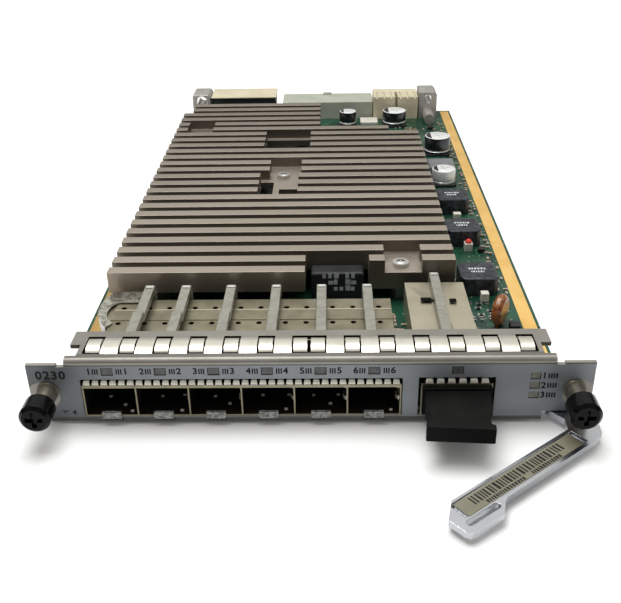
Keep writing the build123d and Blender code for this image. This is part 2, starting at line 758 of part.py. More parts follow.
# The status lights' pipe: rods on one upright web that stands on the board
with BuildPart() as status_light_pipe:
    with BuildSketch(Plane.XY.offset(BOARD_TOP)):
        with Locations((STATUS_X, BOARD_NOTCH_REAR + 2.2)):
            Rectangle(STATUS_WIDTH, 3.0)
    extrude(
        amount=STATUS_Z + (STATUS_COUNT - 1) * STATUS_PITCH + STATUS_HEIGHT / 2 - BOARD_TOP
    )
    with BuildSketch(Plane.XZ.offset(-0.2)):
        with Locations(
            *[(STATUS_X, STATUS_Z + i * STATUS_PITCH) for i in range(STATUS_COUNT)]
        ):
            Rectangle(STATUS_WIDTH, STATUS_HEIGHT)
    extrude(amount=-(BOARD_NOTCH_REAR + 1.0))
keep(status_light_pipe.part, "status_light_pipe")


def sink_cuts():
    """The plan areas where the heatsink is stepped back, as (x0, x1, y0, y1)."""
    fin_front = [SINK_FRONT + FIN_PITCH * k for k in range(FIN_COUNT + 1)]
    rear = fin_front[FIN_COUNT]
    wide = SINK_RIGHT - SINK_LEFT
    return [
        (NOTCH_LEFT, SINK_RIGHT + wide, SINK_FRONT - FIN_PITCH, fin_front[1]),
        (NOTCH_LEFT, NOTCH_RIGHT, SINK_FRONT - FIN_PITCH, fin_front[2]),
        (STEP_RIGHT, SINK_RIGHT + wide, fin_front[18] + FIN_THICK, rear),
        (STEP_MIDDLE, SINK_RIGHT + wide, fin_front[19] + FIN_THICK, rear),
        (SINK_LEFT - wide, STEP_LEFT, fin_front[22] + FIN_THICK, rear),
    ]


def rectangle_between(x0, x1, y0, y1, mode=Mode.ADD):
    """A sketch rectangle between two corners."""
    with Locations(((x0 + x1) / 2, (y0 + y1) / 2)):
        Rectangle(x1 - x0, y1 - y0, mode=mode)


# Pockets that stop the fins: (x0, x1, first fin, last fin)
SINK_POCKETS = [
    (-61.0, -49.0, 19, 20),
    (-23.2, -2.8, 16, 18),
    (-19.0, -6.0, 12, 13),
    (-22.5, -6.9, 9, 11),
    (23.8, 36.0, 1, 2),
]
# Openings right through the plate below the pockets: (x0, x1, first fin, last fin)
SINK_OPENINGS = [
    (-23.2, -2.8, 16, 18),
    (-22.5, -17.3, 9, 11),
    (-14.7, -6.9, 9, 10),
]
POCKET_MARGIN = 1.0
PEDESTALS = [(-45.0, -10.0, 92.0, 127.0), (-2.0, 30.0, 150.0, 182.0)]

# The heatsink: one milled plate with cross fins, notched round the tall parts
with BuildPart() as heatsink:
    sink_rear = SINK_FRONT + FIN_PITCH * (FIN_COUNT - 1) + FIN_THICK
    with BuildSketch(Plane.XY.offset(SINK_BASE_BOTTOM)):
        rectangle_between(SINK_LEFT, SINK_RIGHT, SINK_FRONT, sink_rear)
        for cut in sink_cuts():
            rectangle_between(*cut, mode=Mode.SUBTRACT)
    extrude(amount=SINK_BASE_TOP - SINK_BASE_BOTTOM)
    with BuildSketch(Plane.XY.offset(SINK_BASE_TOP)):
        for k in range(FIN_COUNT):
            fin_y = SINK_FRONT + FIN_PITCH * k
            rectangle_between(SINK_LEFT, SINK_RIGHT, fin_y, fin_y + FIN_THICK)
        for cut in sink_cuts():
            rectangle_between(*cut, mode=Mode.SUBTRACT)
        for x0, x1, first, last in SINK_POCKETS:
            y0 = SINK_FRONT + FIN_PITCH * first - POCKET_MARGIN
            y1 = SINK_FRONT + FIN_PITCH * last + FIN_THICK + POCKET_MARGIN
            rectangle_between(x0, x1, y0, y1, mode=Mode.SUBTRACT)
    extrude(amount=SINK_TOP - SINK_BASE_TOP)
    # the thicker block behind the wide port
    with BuildSketch(Plane.XY.offset(SINK_BLOCK_BOTTOM)):
        rectangle_between(
            NOTCH_RIGHT, SINK_RIGHT, SINK_FRONT + FIN_PITCH, SINK_BLOCK_REAR
        )
    extrude(amount=SINK_BASE_BOTTOM - SINK_BLOCK_BOTTOM)
    # pedestals that reach down to the large chips
    with BuildSketch(Plane.XY.offset(BOARD_TOP + CHIP_HEIGHT + PAD_THICK)):
        for pedestal in PEDESTALS:
            rectangle_between(*pedestal)
    extrude(amount=SINK_BASE_BOTTOM - BOARD_TOP - CHIP_HEIGHT - PAD_THICK)
    # the pockets that go right through the plate
    with BuildSketch(Plane.XY.offset(SINK_BASE_TOP)):
        for x0, x1, first, last in SINK_OPENINGS:
            y0 = SINK_FRONT + FIN_PITCH * first - POCKET_MARGIN
            y1 = SINK_FRONT + FIN_PITCH * last + FIN_THICK + POCKET_MARGIN
            rectangle_between(x0, x1, y0, y1)
    extrude(amount=-(SINK_BASE_TOP - SINK_BASE_BOTTOM), mode=Mode.SUBTRACT)
    # holes for the screws put in from above
    with BuildSketch(Plane.XY.offset(SINK_BASE_TOP)):
        with Locations(*[(x, y) for x, y, _ in TOP_SCREW_PLACES]):
            Circle(M3_CLEAR_RADIUS)
    extrude(amount=-(SINK_BASE_TOP - SINK_BLOCK_BOTTOM), mode=Mode.SUBTRACT)
keep(heatsink.part, "heatsink")


def standoff(x, y, top):
    """A hexagonal standoff with a threaded bore."""
    with BuildPart() as post:
        with BuildSketch(Plane.XY.offset(BOARD_TOP)):
            with Locations((x, y)):
                RegularPolygon(STANDOFF_RADIUS, 6)
                Circle(M3_RADIUS + SLIP_FIT, mode=Mode.SUBTRACT)
        extrude(amount=top - BOARD_TOP)
    return post.part


group(
    [standoff(x, y, SINK_BASE_BOTTOM) for x, y in STANDOFF_PLACES]
    + [standoff(x, y, bottom) for x, y, bottom in TOP_SCREW_PLACES],
    "heatsink_standoffs",
)


def screw(x, y, seat, up):
    """A cap screw whose head seats at seat and whose shank points up for 1 and down for -1."""
    profile = [
        (0, seat - up * M3_HEAD_HEIGHT),
        (M3_HEAD_RADIUS, seat - up * M3_HEAD_HEIGHT),
        (M3_HEAD_RADIUS, seat),
        (M3_RADIUS, seat),
        (M3_RADIUS, seat + up * M3_GRIP),
        (0, seat + up * M3_GRIP),
    ]
    return upright(profile, x, y)


group(
    [screw(x, y, SINK_BASE_TOP, -1) for x, y, _ in TOP_SCREW_PLACES],
    "heatsink_screws",
)
group(
    [screw(x, y, BOARD_BOTTOM, 1) for x, y in BOARD_SCREW_PLACES],
    "board_screws",
)

# Chips under the pedestals, their thermal pads, and memory chips beside them
chips = []
pads = []
for x0, x1, y0, y1 in PEDESTALS:
    chips.append(box_between(x0, x1, y0, y1, BOARD_TOP, BOARD_TOP + CHIP_HEIGHT))
    pads.append(
        box_between(
            x0 + 2,
            x1 - 2,
            y0 + 2,
            y1 - 2,
            BOARD_TOP + CHIP_HEIGHT,
            BOARD_TOP + CHIP_HEIGHT + PAD_THICK,
        )
    )
group(chips, "large_chips")
group(pads, "thermal_pads")
group(
    [
        box_between(x, x + 9.0, y, y + 13.0, BOARD_TOP, BOARD_TOP + 1.2)
        for x in (-58.0, -4.0)
        for y in (92.0, 112.0)
    ],
    "memory_chips",
)

# The left angle bracket ties the panel to the board
ANGLE_LEFT = -PANEL_WIDTH / 2 + 2.55
ANGLE_WIDTH = 5.6
ANGLE_DEPTH = 11.4
ANGLE_RISE = 2.9
LEAF_ANGLE_RISE = 3.0
with BuildPart() as panel_angle:
    with BuildSketch(Plane.YZ.offset(ANGLE_LEFT)):
        with BuildLine():
            Polyline(
                (PANEL_SHEET, BOARD_TOP),
                (PANEL_SHEET + ANGLE_DEPTH, BOARD_TOP),
                (PANEL_SHEET + ANGLE_DEPTH, BOARD_TOP + BRACKET_SHEET),
                (PANEL_SHEET + BRACKET_SHEET, BOARD_TOP + BRACKET_SHEET),
                (PANEL_SHEET + BRACKET_SHEET, BOARD_TOP + ANGLE_RISE),
                (PANEL_SHEET, BOARD_TOP + ANGLE_RISE),
                close=True,
            )
        make_face()
    extrude(amount=ANGLE_WIDTH)
    with BuildSketch(Plane.XY.offset(BOARD_TOP)):
        with Locations(ANGLE_SCREW_PLACES[0]):
            Circle(M3_RADIUS + SLIP_FIT)
    extrude(amount=BRACKET_SHEET, mode=Mode.SUBTRACT)
keep(panel_angle.part, "panel_angle")

# The lever's bracket: welded to the panel's back, over the lever, then joggled down to the board
LEAF_BOTTOM = LEVER_TOP + CLEAR
LEAF_TOP = LEAF_BOTTOM + BRACKET_SHEET
BRACKET_LEFT = LEVER_CUT_X
BRACKET_WIDTH = BOARD_WIDTH / 2 - BRACKET_LEFT
BRACKET_REAR = BOARD_NOTCH_REAR + 8.0
with BuildPart() as lever_bracket:
    with BuildSketch(Plane.YZ.offset(BRACKET_LEFT)):
        with BuildLine():
            Polyline(
                (PANEL_SHEET, LEAF_BOTTOM),
                (BOARD_NOTCH_REAR + 0.2, LEAF_BOTTOM),
                (BOARD_NOTCH_REAR + 1.0, BOARD_TOP),
                (BRACKET_REAR, BOARD_TOP),
                (BRACKET_REAR, BOARD_TOP + BRACKET_SHEET),
                (BOARD_NOTCH_REAR + 1.6, BOARD_TOP + BRACKET_SHEET),
                (BOARD_NOTCH_REAR + 0.8, LEAF_TOP),
                (PANEL_SHEET + BRACKET_SHEET, LEAF_TOP),
                (PANEL_SHEET + BRACKET_SHEET, LEAF_TOP + LEAF_ANGLE_RISE),
                (PANEL_SHEET, LEAF_TOP + LEAF_ANGLE_RISE),
                close=True,
            )
        make_face()
    extrude(amount=BRACKET_WIDTH)
    with BuildSketch(Plane.XY.offset(BOARD_TOP)):
        with Locations(ANGLE_SCREW_PLACES[1]):
            Circle(M3_RADIUS + SLIP_FIT)
        with Locations((PIVOT_X, PIVOT_Y)):
            Circle(PIN_RADIUS)
    extrude(amount=LEAF_TOP - BOARD_TOP, mode=Mode.SUBTRACT)
keep(lever_bracket.part, "lever_bracket")

# The pivot is a rivet: its foot holds the lever up and its upset head grips the bracket
keep(
    upright(
        [
            (0, LEVER_BOTTOM),
            (PIN_FOOT_RADIUS, LEVER_BOTTOM),
            (PIN_FOOT_RADIUS, EYE_BOTTOM - CLEAR),
            (PIN_RADIUS, EYE_BOTTOM - CLEAR),
            (PIN_RADIUS, LEAF_TOP),
            (PIN_HEAD_RADIUS, LEAF_TOP),
            (PIN_HEAD_RADIUS - 0.5, LEAF_TOP + PIN_HEAD_HEIGHT),
            (0, LEAF_TOP + PIN_HEAD_HEIGHT),
        ],
        PIVOT_X,
        PIVOT_Y,
    ),
    "lever_pin",
)


def lever_plane(z):
    """The lever's own plane: X runs along the handle towards the pivot, at the lever's open angle."""
    angle = radians(LEVER_OPEN_DEG)
    return Plane(
        origin=(PIVOT_X, PIVOT_Y, z), x_dir=(cos(angle), sin(angle), 0), z_dir=(0, 0, 1)
    )


HANDLE_TIP = -HANDLE_LENGTH
HANDLE_FRONT = HANDLE_EDGE - HANDLE_WIDTH
with BuildPart() as ejector_lever:
    with BuildSketch(lever_plane(LEVER_BOTTOM)) as lever_outline:
        with BuildLine():
            Polyline(
                (HANDLE_TIP, HANDLE_EDGE),
                (HANDLE_TIP - 5.4, HANDLE_EDGE - 4.3),
                (HANDLE_TIP - 5.2, HANDLE_EDGE - 9.5),
                (HANDLE_TIP - 4.2, HANDLE_EDGE - 10.6),
                (HANDLE_TIP + 6.4, HANDLE_EDGE - 10.9),
                (HANDLE_TIP + 9.6, HANDLE_EDGE - 8.4),
                (HANDLE_TIP + 11.1, HANDLE_FRONT),
                (-7.8, HANDLE_FRONT),
                (-3.7, HANDLE_FRONT + 1.1),
                (-1.9, HANDLE_FRONT + 3.0),
                (1.5, HANDLE_EDGE + 0.1),
                (2.9, -5.6),
                (1.9, -4.2),
                (4.0, -1.5),
                (2.0, 3.0),
                (-3.0, 3.2),
                (-8.2, 3.4),
                (-6.6, 1.2),
                (-6.6, -5.2),
                (-9.4, HANDLE_EDGE),
                close=True,
            )
        make_face()
        with Locations((0, 0)):
            Circle(EYE_RADIUS)
    extrude(amount=LEVER_TOP - LEVER_BOTTOM)
    # the eye is thinner than the handle, to clear the rivet's foot
    with BuildSketch(lever_plane(LEVER_BOTTOM)):
        Circle(PIN_FOOT_RADIUS + CLEAR)
    extrude(amount=EYE_BOTTOM - LEVER_BOTTOM, mode=Mode.SUBTRACT)
    with BuildSketch(lever_plane(LEVER_BOTTOM)):
        Circle(PIN_RADIUS + SLIP_FIT)
    extrude(amount=LEVER_TOP, mode=Mode.SUBTRACT)
    # a recess for the label, with a polished rim
    with BuildSketch(lever_plane(LEVER_TOP)):
        with Locations(
            (
                HANDLE_TIP - 0.8 + LABEL_LENGTH / 2 + 0.2,
                HANDLE_EDGE - LABEL_MARGIN - LABEL_WIDTH / 2,
            )
        ):
            Rectangle(LABEL_LENGTH + 0.4, LABEL_WIDTH + 0.4)
    extrude(amount=-RECESS_RIM, mode=Mode.SUBTRACT)
    # deeper wells past both ends of the label
    with BuildSketch(lever_plane(LEVER_TOP)):
        for end in (-1, 1):
            with Locations(
                (
                    HANDLE_TIP - 0.6 + LABEL_LENGTH / 2 + end * (LABEL_LENGTH + LABEL_WELL) / 2,
                    HANDLE_EDGE - LABEL_MARGIN - LABEL_WIDTH / 2,
                )
            ):
                Rectangle(LABEL_WELL, LABEL_WIDTH)
    extrude(amount=-LABEL_WELL_DEPTH, mode=Mode.SUBTRACT)
    # a slot through the finger grip
    with BuildSketch(lever_plane(LEVER_BOTTOM)):
        with Locations((HANDLE_TIP + 2.4, HANDLE_EDGE - 7.9)):
            SlotOverall(11.0, 1.9)
    extrude(amount=LEVER_TOP, mode=Mode.SUBTRACT)
keep(ejector_lever.part, "ejector_lever")

with BuildPart() as lever_label:
    with BuildSketch(lever_plane(LEVER_TOP - RECESS_RIM)):
        with Locations(
            (
                HANDLE_TIP - 0.6 + LABEL_LENGTH / 2,
                HANDLE_EDGE - LABEL_MARGIN - LABEL_WIDTH / 2,
            )
        ):
            Rectangle(LABEL_LENGTH, LABEL_WIDTH)
    extrude(amount=LABEL_THICK)
keep(lever_label.part, "lever_label")

# The dust plug: a block that fills the wide port, a collar on its mouth, and a waisted finger grip
PLUG_HALF = WIDE_WIDTH / 2 - CAGE_SHEET - CLEAR
PLUG_BOTTOM = BOARD_TOP + CAGE_SHEET + CLEAR
PLUG_TOP = WIDE_TOP - CAGE_SHEET - CLEAR
COLLAR_FRONT = -CAGE_LIP - CLEAR - PLUG_COLLAR
with BuildPart() as dust_plug:
    with BuildSketch(Plane.XZ.offset(-COLLAR_FRONT - PLUG_COLLAR)):
        with Locations((WIDE_X, (PLUG_BOTTOM + PLUG_TOP) / 2)):
            Rectangle(2 * PLUG_HALF, PLUG_TOP - PLUG_BOTTOM)
    extrude(amount=-(PLUG_DEPTH + CAGE_LIP + CLEAR))
    with BuildSketch(Plane.XZ.offset(-COLLAR_FRONT)):
        with Locations((WIDE_X, (LEAF_BOTTOM + CLEAR + WIDE_TOP) / 2)):
            Rectangle(WIDE_WIDTH - 0.4, WIDE_TOP - LEAF_BOTTOM - CLEAR)
    extrude(amount=-PLUG_COLLAR)
    lean = radians(PLUG_LEAN_DEG)
    grip_plane = Plane(
        origin=(WIDE_X, COLLAR_FRONT, PLUG_GRIP_BOTTOM),
        x_dir=(cos(lean), -sin(lean), 0),
        z_dir=(0, 0, 1),
    )
    bar_front = -PLUG_REACH - COLLAR_FRONT
    bar_rear = bar_front + PLUG_BAR_DEPTH
    with BuildSketch(grip_plane):
        with BuildLine():
            for hand in (-1, 1):
                Polyline(
                    (0, PLUG_COLLAR / 2),
                    (hand * PLUG_GRIP_ROOT, PLUG_COLLAR / 2),
                    (hand * PLUG_GRIP_ROOT, -PLUG_GRIP_STRAIGHT),
                    (hand * PLUG_WAIST / 2, bar_rear + 2.2),
                    (hand * PLUG_WAIST / 2, bar_rear + 0.8),
                    (hand * PLUG_BAR_WIDTH / 2, bar_rear),
                    (hand * PLUG_BAR_WIDTH / 2, bar_front),
                    (0, bar_front),
                )
        make_face()
    extrude(amount=PLUG_GRIP_TOP - PLUG_GRIP_BOTTOM)
keep(dust_plug.part, "dust_plug")

# The two captive thumbscrews, each a ferrule, a spring, a thrust washer, a steel screw and a knob
KNOB_FRONT = -KNOB_REAR - KNOB_LENGTH
KNOB_SEAT = KNOB_FRONT + KNOB_END_WALL
SCREW_END = KNOB_SEAT - 0.9
FERRULE_BACK = PANEL_SHEET + FERRULE_TAIL
THREAD_START = FERRULE_BACK + CLEAR
WASHER_FRONT = KNOB_SEAT + RUNNING_FIT
WASHER_REAR = WASHER_FRONT + WASHER_THICK
KNOB_BORE_RADIUS = FERRULE_RADIUS + CLEAR + 0.05


def knob(x):
    """The black moulded knob, hollow over the ferrule, with a cross recess in its end."""
    body = turned(
        [
            (0, KNOB_FRONT),
            (KNOB_RADIUS - 0.9, KNOB_FRONT),
            (KNOB_RADIUS, KNOB_FRONT + 0.9),
            (KNOB_RADIUS, -KNOB_REAR - 0.6),
            (KNOB_RADIUS - 0.6, -KNOB_REAR),
            (KNOB_BORE_RADIUS, -KNOB_REAR),
            (KNOB_BORE_RADIUS, KNOB_SEAT),
            (NECK_RADIUS, KNOB_SEAT),
            (NECK_RADIUS, SCREW_END),
            (0, SCREW_END),
        ],
        x,
        SCREW_Z,
    )
    with BuildPart() as piece:
        add(body)
        with BuildSketch(Plane.XZ.offset(-KNOB_FRONT)):
            with Locations((x, SCREW_Z)):
                Rectangle(RECESS_LENGTH, RECESS_WIDTH)
                Rectangle(RECESS_WIDTH, RECESS_LENGTH)
        extrude(amount=-RECESS_DEPTH, mode=Mode.SUBTRACT)
    return piece.part


for side, x in (("left", -SCREW_X), ("right", SCREW_X)):
    keep(knob(x), f"thumb_knob_{side}")
    keep(
        turned(
            [
                (0, SCREW_END),
                (NECK_RADIUS, SCREW_END),
                (NECK_RADIUS, THREAD_START),
                (THREAD_RADIUS, THREAD_START),
                (THREAD_RADIUS, THREAD_START + THREAD_LENGTH - 0.6),
                (THREAD_RADIUS - 0.6, THREAD_START + THREAD_LENGTH),
                (0, THREAD_START + THREAD_LENGTH),
            ],
            x,
            SCREW_Z,
        ),
        f"thumb_screw_{side}",
    )
    ferrule_bore = NECK_RADIUS + RUNNING_FIT
    keep(
        turned(
            [
                (ferrule_bore, FERRULE_FACE),
                (FERRULE_RADIUS, FERRULE_FACE),
                (FERRULE_RADIUS, -FERRULE_RIM),
                (FERRULE_RIM_RADIUS, -FERRULE_RIM),
                (FERRULE_RIM_RADIUS, 0),
                (FERRULE_RADIUS - SLIP_FIT, 0),
                (FERRULE_RADIUS - SLIP_FIT, PANEL_SHEET),
                (FERRULE_RIM_RADIUS, PANEL_SHEET),
                (FERRULE_RIM_RADIUS - 0.2, FERRULE_BACK),
                (ferrule_bore, FERRULE_BACK),
            ],
            x,
            SCREW_Z,
        ),
        f"ferrule_{side}",
    )
    keep(
        turned(
            [
                (NECK_RADIUS + CLEAR, WASHER_FRONT),
                (KNOB_BORE_RADIUS - CLEAR, WASHER_FRONT),
                (KNOB_BORE_RADIUS - CLEAR, WASHER_REAR),
                (NECK_RADIUS + CLEAR, WASHER_REAR),
            ],
            x,
            SCREW_Z,
        ),
        f"thrust_washer_{side}",
    )
    spring_radius = (NECK_RADIUS + KNOB_BORE_RADIUS) / 2
    spring_start = WASHER_REAR + SPRING_WIRE / 2 + 0.05
    spring_length = FERRULE_FACE - SPRING_WIRE / 2 - 0.05 - spring_start
    spring_steps = round(SPRING_TURNS * 360 / SPRING_STEP)
    with BuildPart() as spring:
        with BuildLine() as coil:
            Polyline(
                *[
                    (
                        x + spring_radius * cos(radians(SPRING_STEP * step)),
                        spring_start + spring_length * step / spring_steps,
                        SCREW_Z + spring_radius * sin(radians(SPRING_STEP * step)),
                    )
                    for step in range(spring_steps + 1)
                ]
            )
        with BuildSketch(Plane(origin=coil.line @ 0, z_dir=coil.line % 0)):
            Rectangle(SPRING_WIRE * 0.8, SPRING_WIRE * 0.8)
        sweep(transition=Transition.RIGHT)
    keep(spring.part, f"spring_{side}")


# Die-cast guide brackets at the rear corners, each with a bore for the rack's guide pin
def guide_bracket(left, bore_radius, hole_x, sleeve):
    """A guide block from its left side, bore and, on the right one, a sleeve in front of it."""
    with BuildPart() as block:
        with BuildSketch(Plane.XZ.offset(-REAR_FRONT + 1.3)):
            with BuildLine():
                right = left + GUIDE_WIDTH
                Polyline(
                    (left, BOARD_TOP),
                    (right, BOARD_TOP),
                    (right, GUIDE_TOP - 1.2),
                    (right - 1.2, GUIDE_TOP),
                    (left + 0.6, GUIDE_TOP),
                    (left, GUIDE_TOP - 0.6),
                    close=True,
                )
            make_face()
        extrude(amount=-(GUIDE_REAR - REAR_FRONT + 1.3))
        if sleeve:
            with BuildSketch(Plane.XZ.offset(-(REAR_FRONT - 13.0))):
                with Locations((left + GUIDE_WIDTH / 2, BOARD_TOP + 2.9)):
                    Circle(2.8)
            extrude(amount=-13.0)
        with BuildSketch(Plane.XZ.offset(-REAR_FRONT + 1.3)):
            with Locations((hole_x, GUIDE_HOLE_Z)):
                Circle(bore_radius)
        extrude(amount=-(GUIDE_REAR - REAR_FRONT + 1.3), mode=Mode.SUBTRACT)
        with BuildSketch(Plane.XY.offset(BOARD_TOP)):
            with Locations((left + GUIDE_WIDTH / 2, REAR_FRONT + 5.0)):
                Circle(M3_RADIUS + SLIP_FIT)
        extrude(amount=M3_GRIP - BOARD_THICK + CLEAR, mode=Mode.SUBTRACT)
    return block.part


for side, (left, bore_radius) in GUIDE_PLACES.items():
    hole_x = left + GUIDE_WIDTH / 2
    keep(
        guide_bracket(left, bore_radius, hole_x, side == "right"),
        f"guide_bracket_{side}",
    )

# The left backplane connector: a black wafer block under a beige cover
COVER_THICK = 0.6
with BuildPart() as wafer_block:
    with BuildSketch(Plane.XY.offset(BOARD_TOP)):
        rectangle_between(-57.6, -23.0, REAR_FRONT + 0.4, BOARD_REAR + 1.0)
    extrude(amount=14.3 - COVER_THICK - BOARD_TOP)
    # rows of contact chambers in the mating face
    with BuildSketch(Plane.XZ.offset(-(BOARD_REAR + 1.0))):
        with Locations((-40.3, 7.8)):
            with GridLocations(3.6, 3.6, 9, 3):
                Rectangle(2.4, 2.4)
    extrude(amount=4.0, mode=Mode.SUBTRACT)
keep(wafer_block.part, "backplane_connector_left")
with BuildPart() as connector_cover:
    with BuildSketch(Plane.YZ.offset(-57.8)):
        with BuildLine():
            Polyline(
                (REAR_FRONT, 14.3 - COVER_THICK),
                (BOARD_REAR + 1.2, 14.3 - COVER_THICK),
                (BOARD_REAR + 1.2, 13.0),
                (REAR_REACH, 13.0),
                (REAR_REACH, 14.3),
                (REAR_FRONT, 14.3),
                close=True,
            )
        make_face()
    extrude(amount=35.0)
keep(connector_cover.part, "connector_cover")

# The middle backplane connector: a pale shrouded housing, open to the rear
with BuildPart() as middle_connector:
    with BuildSketch(Plane.XY.offset(BOARD_TOP)):
        rectangle_between(-19.2, 29.2, REAR_FRONT, BOARD_REAR + 1.0)
    extrude(amount=9.1)
    with BuildSketch(Plane.XZ.offset(-(BOARD_REAR + 1.0))):
        rectangle_between(-19.2, 29.2, BOARD_TOP, 11.0)
        rectangle_between(-18.0, 28.0, BOARD_TOP + 1.2, 9.8, mode=Mode.SUBTRACT)
    extrude(amount=-(REAR_REACH - BOARD_REAR - 1.0))
    # a polarising key stands up at the rear edge of the shroud
    with BuildSketch(Plane.XY.offset(11.0)):
        rectangle_between(2.6, 7.0, REAR_REACH - 2.6, REAR_REACH)
    extrude(amount=0.8)
    with BuildSketch(Plane.XZ.offset(-(BOARD_REAR + 1.0))):
        with Locations((5.0, 6.4)):
            with GridLocations(4.4, 3.4, 10, 2):
                Rectangle(1.8, 1.6)
    extrude(amount=5.0, mode=Mode.SUBTRACT)
keep(middle_connector.part, "backplane_connector_middle")

# The power connector: two beige blocks joined low down, with blade slots to the rear
with BuildPart() as power_connector:
    with BuildSketch(Plane.XY.offset(BOARD_TOP)):
        rectangle_between(29.6, 53.3, REAR_FRONT - 2.0, BOARD_REAR + 1.6)
    extrude(amount=12.2)
    with BuildSketch(Plane.XY.offset(14.1)):
        rectangle_between(41.3, 42.5, REAR_FRONT - 3.0, BOARD_REAR - 4.0)
    extrude(amount=-8.5, mode=Mode.SUBTRACT)
    with BuildSketch(Plane.XZ.offset(-(BOARD_REAR + 1.6))):
        with Locations((35.4, 8.0), (47.9, 8.0)):
            with GridLocations(5.0, 1.0, 2, 1):
                Rectangle(2.0, 7.0)
    extrude(amount=6.0, mode=Mode.SUBTRACT)
    with BuildSketch(Plane.XZ.offset(-(REAR_FRONT - 2.0))):
        with Locations((35.4, 14.1), (47.9, 14.1)):
            with GridLocations(3.8, 1.0, 3, 1):
                Rectangle(0.8, 1.6)
    extrude(amount=-10.0, mode=Mode.SUBTRACT)
keep(power_connector.part, "power_connector")


# Parts on the board beside the heatsink
def power_inductor(x, y):
    """A square potted power inductor with cut corners and a bevelled top."""
    with BuildPart() as piece:
        with BuildSketch(Plane.XY.offset(BOARD_TOP)):
            with Locations((x, y)):
                Rectangle(MODULE_SIZE, MODULE_SIZE)
        extrude(amount=MODULE_HEIGHT)
        chamfer(piece.edges().filter_by(Axis.Z), length=1.4)
        chamfer(piece.faces().sort_by(Axis.Z)[-1].edges(), length=0.4)
    return piece.part


MODULE_X = 56.1
group([power_inductor(MODULE_X, y) for y in (73.4, 112.4, 143.3)], "power_inductors")


def capacitor(x, y, radius, height):
    """An aluminium can with a rounded top edge, and its square moulded base."""
    base_top = BOARD_TOP + 1.0
    can = upright(
        [
            (0, base_top),
            (radius, base_top),
            (radius, base_top + height - 0.5),
            (radius - 0.5, base_top + height),
            (0, base_top + height),
        ],
        x,
        y,
    )
    with BuildPart() as base:
        with BuildSketch(Plane.XY.offset(BOARD_TOP)):
            with Locations((x, y)):
                Rectangle(2 * radius + 0.4, 2 * radius + 0.4)
        extrude(amount=base_top - BOARD_TOP)
        chamfer(base.edges().filter_by(Axis.Z).group_by(Axis.Y)[0], length=1.5)
    return can, base.part


CAPACITORS = [
    (57.8, 213.4, 6.1, 7.6),
    (40.2, 259.6, 6.1, 6.6),
    (56.1, 172.4, 5.2, 6.0),
    (15.6, 258.5, 4.4, 6.8),
]
cans = []
bases = []
for place in CAPACITORS:
    can, base = capacitor(*place)
    cans.append(can)
    bases.append(base)
group(cans, "capacitor_cans")
group(bases, "capacitor_bases")

# The tall inductor in the heatsink's front notch, on four short feet
with BuildPart() as front_inductor:
    with BuildSketch(Plane.XY.offset(BOARD_TOP + 0.6)):
        rectangle_between(-0.6, 17.0, 63.6, 70.4)
    extrude(amount=10.2)
    chamfer(front_inductor.faces().sort_by(Axis.Z)[-1].edges(), length=0.5)
    with BuildSketch(Plane.XY.offset(BOARD_TOP)):
        with Locations((8.2, 67.0)):
            with GridLocations(14.0, 4.6, 2, 2):
                Rectangle(1.6, 1.2)
    extrude(amount=0.6)
keep(front_inductor.part, "front_inductor")

# The grey converter module behind the tall capacitor, with a pocketed lid
with BuildPart() as converter:
    with BuildSketch(Plane.XY.offset(BOARD_TOP)):
        rectangle_between(50.6, 62.6, 181.0, 192.6)
    extrude(amount=4.6)
    chamfer(converter.faces().sort_by(Axis.Z)[-1].edges(), length=0.5)
keep(converter.part, "converter_module")

# A disc varistor on two leads, standing at an angle beside the wide port
VARISTOR = (59.4, 47.6)
VARISTOR_RADIUS = 5.1
VARISTOR_THICK = 3.2
VARISTOR_TURN = 62.0
VARISTOR_LEADS = 5.0
VARISTOR_Z = BOARD_TOP + VARISTOR_RADIUS + 0.4
turn = radians(VARISTOR_TURN)
facing = Plane(
    origin=(*VARISTOR, VARISTOR_Z), x_dir=(cos(turn), sin(turn), 0), z_dir=(sin(turn), -cos(turn), 0)
)
with BuildPart() as varistor:
    with BuildSketch(facing.offset(-VARISTOR_THICK / 2)):
        Circle(VARISTOR_RADIUS)
    extrude(amount=VARISTOR_THICK)
    chamfer(varistor.edges().filter_by(GeomType.CIRCLE), length=1.0)
    with BuildSketch(facing.offset(-0.4)):
        with Locations(
            (-VARISTOR_LEADS / 2, 0.4 - VARISTOR_RADIUS),
            (VARISTOR_LEADS / 2, 0.4 - VARISTOR_RADIUS),
        ):
            Rectangle(0.8, 1.6)
    extrude(amount=0.8)
keep(varistor.part, "disc_varistor")

# A red indicator bulb, which stands on one of the small pale parts
with BuildPart() as bulb:
    with BuildSketch(Plane.XY.offset(BOARD_TOP + 3.1)):
        with Locations((57.4, 103.2)):
            Circle(1.2)
    extrude(amount=1.4)
    chamfer(bulb.edges().group_by(Axis.Z)[-1], length=0.7)
keep(bulb.part, "indicator_bulb")

